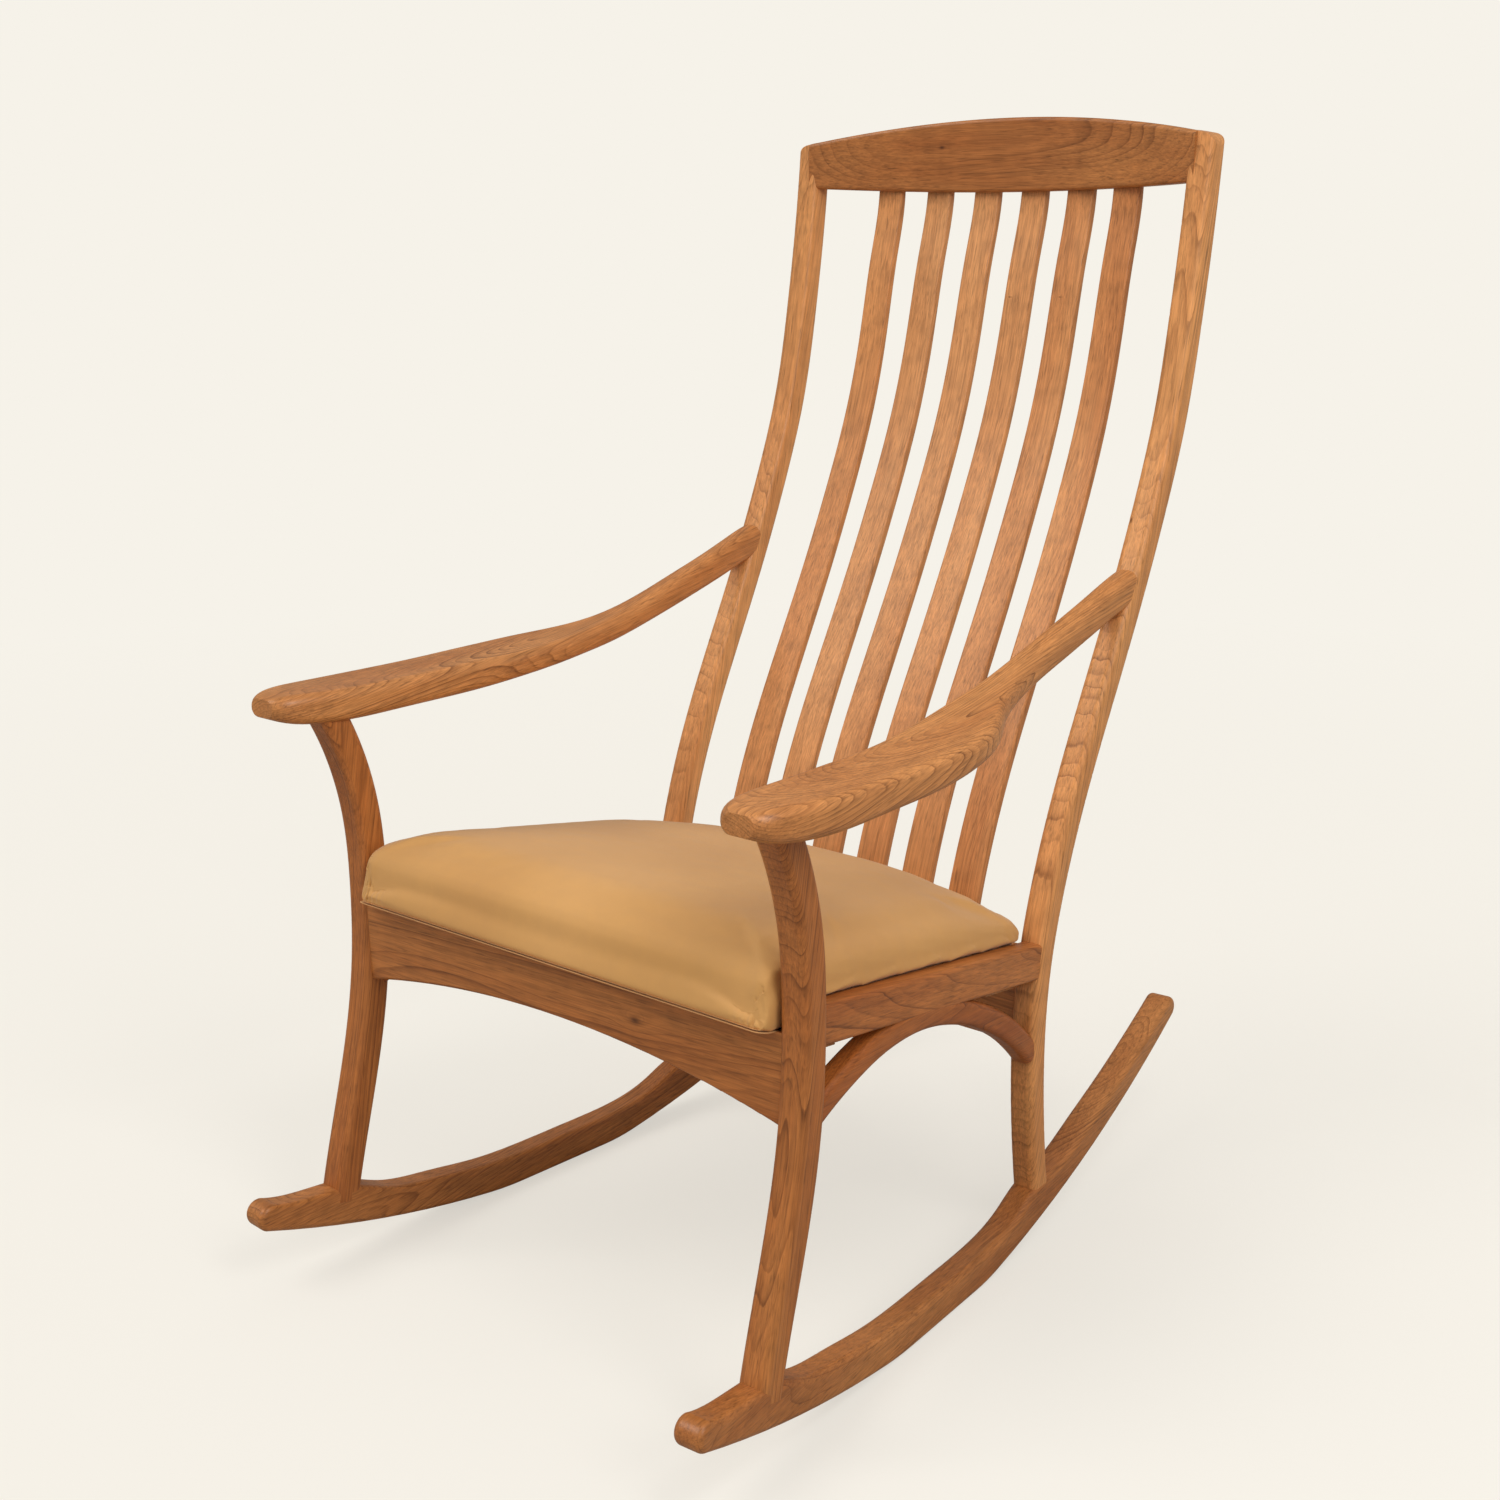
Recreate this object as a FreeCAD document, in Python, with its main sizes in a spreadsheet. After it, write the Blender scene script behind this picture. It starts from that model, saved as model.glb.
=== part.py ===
"""A high-backed wooden rocking chair with curved slats, sculpted arms and an upholstered slip seat.

Frame: +Z up, the chair faces -Y, the sitter's left is +X. The origin is on the floor, under the middle of
the chair's overall width and depth. All lengths are millimetres and all angles are degrees.
"""
import FreeCAD, Part
import math
import os

V = FreeCAD.Vector
X_AXIS, Y_AXIS, Z_AXIS = V(1, 0, 0), V(0, 1, 0), V(0, 0, 1)

# Driving sizes
SIZES = {
    # rockers: two bent bars, splayed so that they close up towards the back
    "rocker_run": 898.0,            # tip to tip, front to back
    "rocker_lead": 158.0,           # front tip to the front legs' rearmost bow
    "rocker_width": 29.5,
    "rocker_depth": 34.0,
    "rocker_tip_depth": 25.5,
    "rocker_front_taper": 80.0,     # length of the front tip over which the depth narrows
    "rocker_rear_taper": 300.0,     # the same at the back
    "rocker_round": 6.0,
    "rocker_flat": 122.0,           # the straight stretch that the chair rests on
    "rocker_flat_lead": 329.0,      # front tip to the start of that stretch
    "rocker_sweep_radius": 1300.0,
    "rocker_knee_front": 400.0,
    "rocker_knee_rear": 250.0,
    "rocker_tip_inset": 12.3,       # how much of each tip is rounded off
    "foot_rise": 5.0,               # the raised seat under each leg
    "foot_shoulder": 30.0,          # the hollow on each side of that seat
    # front legs
    "leg_size": 30.0,
    "leg_round": 7.0,
    "leg_spread": 550.0,            # centre to centre
    "leg_bow": 57.0,                # how far the foot stands in front of the rearmost bow
    "arm_height": 560.0,            # underside of the arm at the front leg
    # back posts
    "post_size": 28.0,
    "post_round": 7.0,
    "post_top_round": 16.0,         # the outer corner of each top
    "post_top_run_out": 0.3,        # how far outside the post's face that rounding ends
    "post_foot_spread": 484.0,
    "post_top_spread": 493.0,
    "post_foot_back": 425.0,        # front legs' rearmost bow to the middle of the back foot
    "post_sweep": 253.0,            # foot to top, front to back
    # crest rail
    "crest_height": 1127.0,         # top of the crest's arch above the floor
    "crest_depth": 77.0,            # in the middle, top to bottom
    "crest_top_rise": 20.5,
    "crest_bottom_rise": 6.0,
    "crest_thickness": 20.0,
    "crest_hollow": 35.0,           # how far the middle bows back behind the ends
    "crest_round": 4.0,
    # back slats
    "slat_pitch": 60.0,
    "slat_top_width": 31.5,
    "slat_foot_width": 37.0,
    "slat_thickness": 10.0,
    "slat_round": 2.5,
    "slat_setback": 1.5,            # middle of a slat behind the posts' middle line
    "housing_gap": 0.2,             # room round a slat's end in its housing
    "slat_housing": 14.0,           # how deep each end is let in
    # seat frame
    "seat_tilt": 9.5,
    "rail_height": 396.0,           # top of the side rails at the front legs' rearmost bow
    "side_rail_depth": 37.0,
    "side_rail_thickness": 22.0,
    "side_rail_round": 4.0,
    "face_recess": 2.0,             # the rails' faces behind the legs' faces
    "front_rail_thickness": 22.0,
    "front_rail_depth": 85.0,       # at its ends
    "front_rail_arch": 31.0,
    "front_rail_round": 3.0,
    "rear_rail_thickness": 22.0,
    "rear_rail_depth": 98.0,
    "rear_rail_round": 3.0,
    "coping": 9.0,                  # how far a rail's blank runs into the leg that it is fitted round
    # arched braces under the side rails
    "brace_width": 24.0,
    "brace_depth": 24.5,
    "brace_round": 7.0,
    "brace_rise": 113.0,            # top of the arch above its back end
    "brace_let_in": 4.0,            # how far the arch is let into the side rail
    # arms
    "arm_length": 662.0,
    "arm_lead": 102.0,              # nose to the front legs' rearmost bow
    "arm_width": 77.0,
    "arm_thickness": 29.0,
    "arm_round": 10.0,
    "arm_climb": 95.0,              # how far the back end stands above the nose
    # slip seat
    "board_thickness": 15.0,
    "board_drop": 24.5,             # underside of the board below the side rails' top
    "board_clearance": 2.0,
    "seat_lead": 32.0,              # front edge of the cover to the front legs' rearmost bow
    "seat_rear_gap": 10.3,          # the cushion's back edge ahead of the rear rail's middle
    "seat_overhang": 9.0,           # how far the cushion rests out over the side rails
    "seat_back_gap": 4.0,           # the board stops this much short of the cushion's back edge
    "seat_corner_radius": 26.0,
    "tray_corner_radius": 12.0,
    "crown_height": 52.0,           # middle of the cushion above the side rails' top
    "cover_thickness": 1.6,
    "cover_margin": 14.0,           # the cover's hem under the board
    "soft_clearance": 0.3,
    # hidden joinery
    "block_leg": 62.0,
    "block_depth": 24.0,
    "dowel_large": 12.0,
    "dowel_small": 9.0,
    "dowel_length": 36.0,
    "dowel_short": 22.0,
    "dowel_pitch": 16.0,
    "glue_gap": 0.1,
    "screw_head": 8.0,
    "screw_shank": 4.0,
    "screw_head_depth": 2.6,
    "screw_reach": 9.0,             # how deep a screw goes into the second piece
    "block_screw_length": 52.0,
}

# Curves, as shares chosen by hand of the sizes that they follow
# front leg: height share from foot to top, and forward share of leg_bow
LEG_SHARES = ((0.0, 1.0), (0.14, 0.69), (0.31, 0.30), (0.47, 0.06), (0.64, 0.0), (0.78, 0.08), (0.9, 0.34),
              (1.0, 0.74))
# back post: height share from foot to top, and backward share of post_sweep
POST_SHARES = ((0.0, 0.0), (0.075, -0.047), (0.155, -0.069), (0.228, -0.05), (0.302, 0.025), (0.39, 0.17),
               (0.476, 0.353), (0.566, 0.546), (0.63, 0.668), (0.72, 0.81), (0.81, 0.894), (0.9, 0.955),
               (1.0, 1.0))
# brace: share of the way from the front leg's bow to the back foot, and share of brace_rise below its top
BRACE_SHARES = ((0.0, 0.335), (0.106, 0.17), (0.181, 0.085), (0.256, 0.025), (0.334, 0.0), (0.414, 0.01),
                (0.5, 0.065), (0.588, 0.165), (0.675, 0.3), (0.745, 0.44), (0.816, 0.605), (0.875, 0.775),
                (0.94, 1.0))
# arm: share of arm_length from the nose, inner and outer edge as shares of arm_width from the leg's centre,
# middle of the thickness as a share of arm_climb, and the thickness as a share of arm_thickness
ARM_SHARES = (
    (0.0, 0.0, 0.4, 0.04, 0.6),
    (0.012, -0.11, 0.49, 0.035, 0.8),
    (0.035, -0.19, 0.565, 0.02, 0.98),
    (0.075, -0.26, 0.63, 0.0, 1.07),
    (0.13, -0.305, 0.67, -0.015, 1.08),
    (0.21, -0.33, 0.665, -0.015, 1.05),
    (0.3, -0.355, 0.645, -0.01, 1.03),
    (0.38, -0.405, 0.615, 0.01, 1.0),
    (0.445, -0.49, 0.56, 0.045, 0.9),
    (0.505, -0.55, 0.42, 0.09, 0.85),
    (0.565, -0.585, 0.16, 0.15, 0.83),
    (0.625, -0.595, -0.05, 0.22, 0.86),
    (0.7, -0.595, -0.18, 0.345, 0.92),
    (0.8, -0.59, -0.225, 0.54, 1.02),
    (0.9, -0.585, -0.24, 0.745, 1.08),
    (0.955, -0.58, -0.235, 0.865, 1.12),
    (1.0, -0.575, -0.23, 0.95, 1.15),
)
# cushion: height above the side rails' top as a share of crown_height, and the outline drawn in from its
# widest, as a share of crown_height
CUSHION_SHARES = ((0.015, 0.07), (0.14, 0.0), (0.34, 0.02), (0.53, 0.11), (0.68, 0.29), (0.8, 0.62),
                  (0.88, 1.15), (0.945, 1.9), (0.985, 2.8), (1.0, 3.6))
TRAY_TOP_SHARE = 0.3                # how far the part between the rails reaches up inside the crown
SHOULDER_SHARES = (0.0, 0.5, 1.0)
BOARD_SCREW_SHARES = (0.15, 0.5, 0.35)      # of a block's three corners: the frame's, across, along
BAR_ROUND_SHARE = 0.98              # most that a rounded corner may take of half a bar's side
SEAT_ROUND_SHARES = (0.45, 0.9)     # most that one may take of the seat's depth, and of half its width
CREST_DOWEL_SHARE = 0.75            # of dowel_pitch: the crest's dowels from the middle of its end
KNEE_TURN_FRONT, KNEE_TURN_REAR = 6.5, 9.7      # turn of the rockers right beside their straight stretch
BRACE_CREST_SHARE = 0.334
SLAT_COUNT = 6
BACKSET_POWER = 1.6
BACKSET_FOOT_SHARE = 0.29           # height, as a share of the crest's, where the slats leave the posts' line

doc = FreeCAD.newDocument("rocking_chair")
sheet = doc.addObject("Spreadsheet::Sheet", "Sizes")
for row, (alias, value) in enumerate(SIZES.items(), start=1):
    sheet.set(f"A{row}", alias)
    sheet.set(f"B{row}", str(value))
    sheet.setAlias(f"B{row}", alias)
doc.recompute()


class Read:
    """The sheet's cells by their aliases."""

    def __getattr__(self, alias):
        return float(sheet.get(alias))


size = Read()
nodes = []


def bind(thing, **properties):
    """Ties properties of a document object to formulas in the sheet's cells."""
    for name, formula in properties.items():
        for alias in sorted(SIZES, key=len, reverse=True):
            formula = formula.replace(f"<{alias}>", f"Sizes.{alias}")
        thing.setExpression(name, formula)


def keep(thing, label):
    """Gives a finished sub-part its own label, which names its file."""
    thing.Label = label
    nodes.append(thing)
    return thing


# Outlines and bars

def spline(points):
    curve = Part.BSplineCurve()
    curve.interpolate([V(*p) for p in points])
    return curve


def at_height(curve, height):
    """The point of a rising curve at a height."""
    low, high = curve.FirstParameter, curve.LastParameter
    for _ in range(60):
        middle = (low + high) / 2
        if curve.value(middle).z < height:
            low = middle
        else:
            high = middle
    return curve.value(low)


def bar_outline(centre, half_depth):
    """The closed side outline of a bar of even depth about a centre curve in the YZ plane."""
    steps = [centre.parameter(centre.value(u)) for u in centre.getKnots()]
    front, back = [], []
    for u in steps:
        point = centre.value(u)
        along = centre.tangent(u)[0]
        across = V(0, -along.z, along.y) * half_depth
        front.append(point + across)
        back.append(point - across)
    first, last = spline(front), spline(back[::-1])
    return [first, Part.LineSegment(front[-1], back[-1]), last, Part.LineSegment(back[0], front[0])]


def sketch_in(body, role, curves):
    """A sketch on one of the body's own origin planes, from curves that close one outline."""
    to_plane = {"YZ_Plane": lambda p: V(p.y, p.z, 0), "XZ_Plane": lambda p: V(p.x, p.z, 0),
                "XY_Plane": lambda p: V(p.x, p.y, 0)}[role]
    sketch = body.newObject("Sketcher::SketchObject", f"{body.Name}_outline")
    plane = next(f for f in body.Origin.OriginFeatures if f.Role == role)
    sketch.AttachmentSupport = [(plane, "")]
    sketch.MapMode = "FlatFace"
    for curve in curves:
        if isinstance(curve, Part.LineSegment):
            flat = Part.LineSegment(to_plane(curve.StartPoint), to_plane(curve.EndPoint))
        elif isinstance(curve, Part.BSplineCurve):
            flat = Part.BSplineCurve()
            flat.buildFromPolesMultsKnots([to_plane(p) for p in curve.getPoles()], curve.getMultiplicities(),
                                          curve.getKnots(), False, curve.Degree)
        else:
            first, last = curve.FirstParameter, curve.LastParameter
            flat = Part.Arc(*(to_plane(curve.value(u)) for u in (first, (first + last) / 2, last)))
        sketch.addGeometry(flat, False)
    return sketch


def pad(body, role, curves, length):
    """Extrudes an outline evenly to both sides of its plane; length is a formula in the sheet's cells."""
    sketch = sketch_in(body, role, curves)
    feature = body.newObject("PartDesign::Pad", f"{body.Name}_pad")
    feature.Profile = sketch
    feature.Midplane = True
    bind(feature, Length=length)
    body.Tip = feature
    doc.recompute()
    return feature


def cut_through(body, role, curves):
    """Cuts away what lies inside an outline, through the whole body."""
    sketch = sketch_in(body, role, curves)
    feature = body.newObject("PartDesign::Pocket", f"{body.Name}_pocket")
    feature.Profile = sketch
    feature.Type = "ThroughAll"
    feature.Midplane = True
    before = body.Shape.Volume
    body.Tip = feature
    doc.recompute()
    if feature.Shape.Volume >= before:
        raise RuntimeError(f"{body.Name}: the cut removes nothing")
    return feature


def round_over(body, wanted, radius):
    """Rounds the edges of the body's tip that pass the test; radius is a formula in the sheet's cells."""
    base = body.Tip
    names = [f"Edge{n}" for n, edge in enumerate(base.Shape.Edges, start=1) if wanted(edge)]
    feature = body.newObject("PartDesign::Fillet", f"{body.Name}_round")
    feature.Base = (base, names)
    bind(feature, Radius=radius)
    body.Tip = feature
    doc.recompute()
    if "Invalid" in feature.State:
        raise RuntimeError(f"{body.Name}: the edges could not be rounded")
    return feature


def in_side_face(edge, half_width):
    """True for an edge that lies in one of a bar's two side faces."""
    first, last = edge.Vertexes[0].X, edge.Vertexes[-1].X
    return abs(abs(first) - half_width) < 1e-4 and abs(first - last) < 1e-4


def new_body(label):
    return doc.addObject("PartDesign::Body", label)


def rounded_section(centre, side, up, width, depth, radius):
    """A closed rounded rectangle about a centre, in the plane of two unit directions."""
    a, b = width / 2, depth / 2
    r = min(radius, BAR_ROUND_SHARE * a, BAR_ROUND_SHARE * b)
    corner = r * (1 - math.sqrt(0.5))
    place = lambda p, q: centre + side * p + up * q
    edges = []
    for sx, sy in ((1, 1), (-1, 1), (-1, -1), (1, -1)):
        upright, level = place(sx * a, sy * (b - r)), place(sx * (a - r), sy * b)
        start, stop = (upright, level) if sx * sy > 0 else (level, upright)
        edges.append(Part.Arc(start, place(sx * (a - corner), sy * (b - corner)), stop))
    loop = []
    for n, arc in enumerate(edges):
        loop.append(arc.toShape())
        loop.append(Part.LineSegment(arc.EndPoint, edges[(n + 1) % 4].StartPoint).toShape())
    return Part.Wire(loop)


def loft(sections, ruled=False):
    solid = Part.makeLoft(sections, True, ruled)
    if solid.Volume < 0:
        solid.reverse()
    return solid


def shaped(label, shape):
    """A sub-part whose form is set by a loft."""
    thing = doc.addObject("Part::Feature", label)
    thing.Shape = shape
    return thing


def less(label, base, *tools):
    """The base with each tool cut out of it."""
    for n, tool in enumerate(tools):
        cut = doc.addObject("Part::Cut", f"{label}_cut_{n}")
        cut.Base = base
        cut.Tool = tool
        base = cut
    doc.recompute()
    return base


def mirrored(source, label):
    """The same piece for the sitter's right side."""
    thing = doc.addObject("Part::Mirroring", label)
    thing.Source = source
    thing.Normal = X_AXIS
    doc.recompute()
    return thing


def both_sides(thing, name):
    keep(thing, f"left_{name}")
    keep(mirrored(thing, f"right_{name}_mirror"), f"right_{name}")


def group(label, things):
    """Several solids that stay separate, in one object."""
    bundle = doc.addObject("Part::Compound", label)
    bundle.Links = things
    doc.recompute()
    return bundle


def round_bar(label, middle, direction, radius, length):
    """A cylinder about a middle point; radius and length are formulas in the sheet's cells."""
    bar = doc.addObject("Part::Cylinder", label)
    bind(bar, Radius=radius, Height=length)
    doc.recompute()
    direction = V(direction)
    direction.normalize()
    start = middle - direction * (bar.Height.Value / 2)
    bar.Placement = FreeCAD.Placement(start, FreeCAD.Rotation(Z_AXIS, direction))
    return bar


def dowels(label, places, diameter, length):
    """Dowels at (middle, direction) places on the left and their mirror images, and the holes for both."""
    pins, holes = [], []
    for n, (middle, direction) in enumerate(places):
        pins.append(round_bar(f"{label}_pin_{n}", middle, direction, f"<{diameter}> / 2", f"<{length}>"))
        holes.append(round_bar(f"{label}_hole_{n}", middle, direction, f"<{diameter}> / 2 + <glue_gap>",
                               f"<{length}> + 2 * <glue_gap>"))
    left = group(f"{label}_left_pins", pins)
    right = mirrored(left, f"{label}_right_pins")
    keep(group(f"{label}_all", [left, right]), label)
    left_holes = group(f"{label}_left_holes", holes)
    return left_holes, mirrored(left_holes, f"{label}_right_holes")


# Places that several pieces share

front_tip_y = -size.rocker_run / 2
leg_y = front_tip_y + size.rocker_lead
leg_x = size.leg_spread / 2
foot_x = size.post_foot_spread / 2
foot_y = leg_y + size.post_foot_back
leg_foot_y = leg_y - size.leg_bow
splay = math.degrees(math.atan2(leg_x - foot_x, foot_y - leg_foot_y))
tilt = math.tan(math.radians(size.seat_tilt))


def outer_line(y):
    """How far out the legs' outer faces lie at a depth, on the straight line from front leg to back post."""
    share = (y - leg_foot_y) / (foot_y - leg_foot_y)
    return (leg_x + size.leg_size / 2) * (1 - share) + (foot_x + size.post_size / 2) * share


def rail_top(y):
    """Height of the side rails' top, which slopes down to the back."""
    return size.rail_height - tilt * (y - leg_y)


def splayed(body):
    """Turns a piece drawn in the middle plane to stand on the splayed line of a rocker's centre."""
    turn = FreeCAD.Rotation(Z_AXIS, splay)
    body.Placement = FreeCAD.Placement(V(foot_x, foot_y, 0), turn)
    doc.recompute()


def along_splay(y):
    """Distance along the splayed line from the back foot to a depth."""
    return (y - foot_y) / math.cos(math.radians(splay))


# Rockers

knee_turn_front, knee_turn_rear = math.radians(KNEE_TURN_FRONT), math.radians(KNEE_TURN_REAR)
front_tip = along_splay(front_tip_y)
rear_tip = along_splay(-front_tip_y)
flat_start = front_tip + size.rocker_flat_lead
flat_end = flat_start + size.rocker_flat


def rocker_base(s):
    """The rocker's lower edge at a distance along it: the point and the slope's angle.

    From the straight stretch the edge turns through a tight knee and then in an even sweep to each tip.
    """
    if flat_start <= s <= flat_end:
        return V(0, s, 0), 0.0
    sign = -1 if s < flat_start else 1
    away = flat_start - s if sign < 0 else s - flat_end
    knee = size.rocker_knee_front if sign < 0 else size.rocker_knee_rear
    turn = knee_turn_front if sign < 0 else knee_turn_rear
    if away < knee * math.sin(turn):
        angle = math.asin(away / knee)
        return V(0, s, knee * (1 - math.cos(angle))), sign * angle
    sweep = size.rocker_sweep_radius
    angle = math.asin((away - (knee - sweep) * math.sin(turn)) / sweep)
    rise = knee * (1 - math.cos(turn)) + sweep * (math.cos(turn) - math.cos(angle))
    return V(0, s, rise), sign * angle


def swell(s):
    """How much of foot_rise the upper edge stands up by: all of it under a leg, with hollow shoulders."""
    share = 0.0
    for foot, depth in ((along_splay(leg_foot_y), size.leg_size), (along_splay(foot_y), size.post_size)):
        past = (abs(s - foot) - depth / 2) / size.foot_shoulder
        if past <= 0:
            share = 1.0
        elif past < 1:
            share = (1 + math.cos(math.pi * past)) / 2
    return share


def rocker_upper(s):
    """The point of the upper edge that stands square to the lower edge at a distance along it."""
    point, angle = rocker_base(s)
    taper = min(1.0, (s - front_tip) / size.rocker_front_taper, (rear_tip - s) / size.rocker_rear_taper)
    fullness = 1 - (1 - max(0.0, taper)) ** 2
    lift = size.rocker_tip_depth + (size.rocker_depth - size.rocker_tip_depth) * fullness
    lift += size.foot_rise * swell(s)
    return point + V(0, -math.sin(angle), math.cos(angle)) * lift


def tip_points(s, sign):
    """The three points of a rounded tip whose lower corner is at a distance along the rocker."""
    low, angle = rocker_base(s)
    top = rocker_upper(s)
    outward = V(0, math.cos(angle), math.sin(angle)) * sign
    return low, (low + top) / 2 + outward * size.rocker_tip_inset, top


def tip_station(tip, sign):
    """Where the lower edge ends so that the rounded tip reaches just to its place."""
    s = tip - sign * size.rocker_tip_inset
    for _ in range(6):
        box = Part.Arc(*tip_points(s, sign)).toShape().optimalBoundingBox()
        s += tip - (box.YMax if sign > 0 else box.YMin)
    return s


def rocker_outline():
    """The side outline: arcs and a straight stretch below, rounded tips, and the swelling upper edge."""
    first, last = tip_station(front_tip, -1), tip_station(rear_tip, 1)
    knee_front = flat_start - size.rocker_knee_front * math.sin(knee_turn_front)
    knee_rear = flat_end + size.rocker_knee_rear * math.sin(knee_turn_rear)
    below = lambda s: rocker_base(s)[0]
    arc_below = lambda a, b: Part.Arc(below(a), below((a + b) / 2), below(b))
    stations = [first, last]
    for foot, depth in ((along_splay(leg_foot_y), size.leg_size), (along_splay(foot_y), size.post_size)):
        for sign in (-1, 1):
            edge = foot + sign * depth / 2
            stations += [edge + sign * size.foot_shoulder * share for share in SHOULDER_SHARES]
    stations.sort()
    for start, stop in list(zip(stations, stations[1:])):
        between = math.ceil((stop - start) / (2 * size.rocker_depth))
        stations += [start + (stop - start) * n / between for n in range(1, between)]
    upper = spline([rocker_upper(s) for s in sorted(stations, reverse=True)])
    return [arc_below(first, knee_front), arc_below(knee_front, flat_start),
            Part.LineSegment(below(flat_start), below(flat_end)),
            arc_below(flat_end, knee_rear), arc_below(knee_rear, last), Part.Arc(*tip_points(last, 1)),
            upper, Part.Arc(*reversed(tip_points(first, -1)))]


rocker = new_body("rocker_blank")
pad(rocker, "YZ_Plane", rocker_outline(), "<rocker_width>")
round_over(rocker, lambda e: True, "<rocker_round>")
splayed(rocker)


def on_rocker(y):
    """Height of the rocker's upper edge at a depth, and how far it leans there."""
    s = along_splay(y)
    _, angle = rocker_base(s)
    for _ in range(20):
        point = rocker_upper(s)
        s += along_splay(y) - point.y
    return point.z, angle


# Front legs

leg_foot_z, leg_foot_lean = on_rocker(leg_foot_y)
leg_base = leg_foot_z - size.rocker_round - size.leg_size * abs(math.sin(leg_foot_lean))
leg_curve = spline([V(0, leg_y - size.leg_bow * forward,
                      leg_base + (size.arm_height + size.leg_round - leg_base) * share)
                    for share, forward in LEG_SHARES])
leg = new_body("front_leg_blank")
pad(leg, "YZ_Plane", bar_outline(leg_curve, size.leg_size / 2), "<leg_size>")
round_over(leg, lambda e: in_side_face(e, size.leg_size / 2) and not e.Curve.TypeId.endswith("Line"),
           "<leg_round>")
leg.Placement.Base = V(leg_x, 0, 0)

# Back posts

post_foot_z, post_foot_lean = on_rocker(foot_y)
post_base = post_foot_z - size.rocker_round - size.post_size * abs(math.sin(post_foot_lean))
post_reach = size.crest_height
post_curve = spline([V(0, foot_y + size.post_sweep * back, post_base + (post_reach - post_base) * share)
                     for share, back in POST_SHARES])
post_lean = math.degrees(math.atan2((size.post_top_spread - size.post_foot_spread) / 2,
                                    post_reach - post_base))


def post_x(height):
    """Distance of a back post's centre line from the chair's middle."""
    share = (height - post_base) / (post_reach - post_base)
    return foot_x + (size.post_top_spread - size.post_foot_spread) / 2 * share


def post_y(height):
    return at_height(post_curve, height).y


def top_arch():
    """The waste above the arch that the crest and both post tops share, and outside the posts' round corners.

    The small corner arc runs smoothly into the arch and ends just outside the post's outer face.
    """
    radius = (crest_half ** 2 + size.crest_top_rise ** 2) / (2 * size.crest_top_rise)
    hub = V(0, 0, size.crest_height - radius)
    small = size.post_top_round
    x = crest_half + size.post_size + size.post_top_run_out - small
    bend = V(x, 0, hub.z + math.sqrt((radius - small) ** 2 - x ** 2))
    outward = (bend - hub).normalize()
    corner = [bend + outward * small, bend + (outward + X_AXIS).normalize() * small, bend + X_AXIS * small]
    other = [V(-p.x, 0, p.z) for p in corner]
    reach = crest_half + 2 * size.post_size
    above = size.crest_height + 2 * size.crest_top_rise
    border = [corner[2], V(reach, 0, bend.z), V(reach, 0, above), V(-reach, 0, above), V(-reach, 0, bend.z),
              other[2]]
    return ([Part.Arc(*other), Part.Arc(other[0], V(0, 0, size.crest_height), corner[0]), Part.Arc(*corner)]
            + [Part.LineSegment(start, stop) for start, stop in zip(border, border[1:])])


crest_half = post_x(size.crest_height) - size.post_size / 2
post = new_body("back_post_blank")
pad(post, "YZ_Plane", bar_outline(post_curve, size.post_size / 2), "<post_size>")
round_over(post, lambda e: in_side_face(e, size.post_size / 2) and not e.Curve.TypeId.endswith("Line"),
           "<post_round>")
post.Placement = FreeCAD.Placement(V(foot_x - post_base * math.tan(math.radians(post_lean)), 0, 0),
                                   FreeCAD.Rotation(Y_AXIS, post_lean))
doc.recompute()

# The waste that the arch leaves above the crest and the posts
arch = new_body("top_arch")
pad(arch, "XZ_Plane", top_arch(), "4 * <post_sweep>")
post_shaped = less("back_post_top", post, arch)

# Crest rail

def crest_y(x):
    """Depth of the crest's middle thickness: hollow to the front, like the sitter's back."""
    return post_y(size.crest_height - size.crest_depth) + size.crest_hollow * (1 - (x / crest_half) ** 2)


def crest_plan(half_width):
    """The crest's plan: a band between two arcs."""
    half = size.crest_thickness / 2
    row = lambda offset: [V(x, crest_y(x) + offset, 0) for x in (-half_width, 0, half_width)]
    front, back = row(-half), row(half)
    return [Part.Arc(*front), Part.LineSegment(front[2], back[2]), Part.Arc(*back[::-1]),
            Part.LineSegment(back[0], front[0])]


crest_reach = crest_half + size.coping
crest_foot_z = size.crest_height - size.crest_depth
crest = new_body("crest_blank")
pad(crest, "XY_Plane", crest_plan(crest_reach), "2 * <crest_height> + 2 * <crest_top_rise>")
rise = size.crest_bottom_rise
below = -2 * size.crest_height
cut_through(crest, "XZ_Plane", [
    Part.Arc(V(-crest_reach, 0, crest_foot_z + rise), V(0, 0, crest_foot_z),
             V(crest_reach, 0, crest_foot_z + rise)),
    Part.LineSegment(V(crest_reach, 0, crest_foot_z + rise), V(crest_reach, 0, below)),
    Part.LineSegment(V(crest_reach, 0, below), V(-crest_reach, 0, below)),
    Part.LineSegment(V(-crest_reach, 0, below), V(-crest_reach, 0, crest_foot_z + rise)),
])
cut_through(crest, "XZ_Plane", top_arch())
round_over(crest, lambda e: e.BoundBox.XLength > crest_half, "<crest_round>")


# Back slats

def slat_y(x, height):
    """Depth of a slat's middle: the posts' line at its foot, the crest's hollow line at its top."""
    start = BACKSET_FOOT_SHARE * size.crest_height
    share = max(0.0, (height - start) / (crest_foot_z - start)) ** BACKSET_POWER
    return post_y(height) + size.slat_setback + (crest_y(x) - post_y(crest_foot_z)) * share


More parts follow.
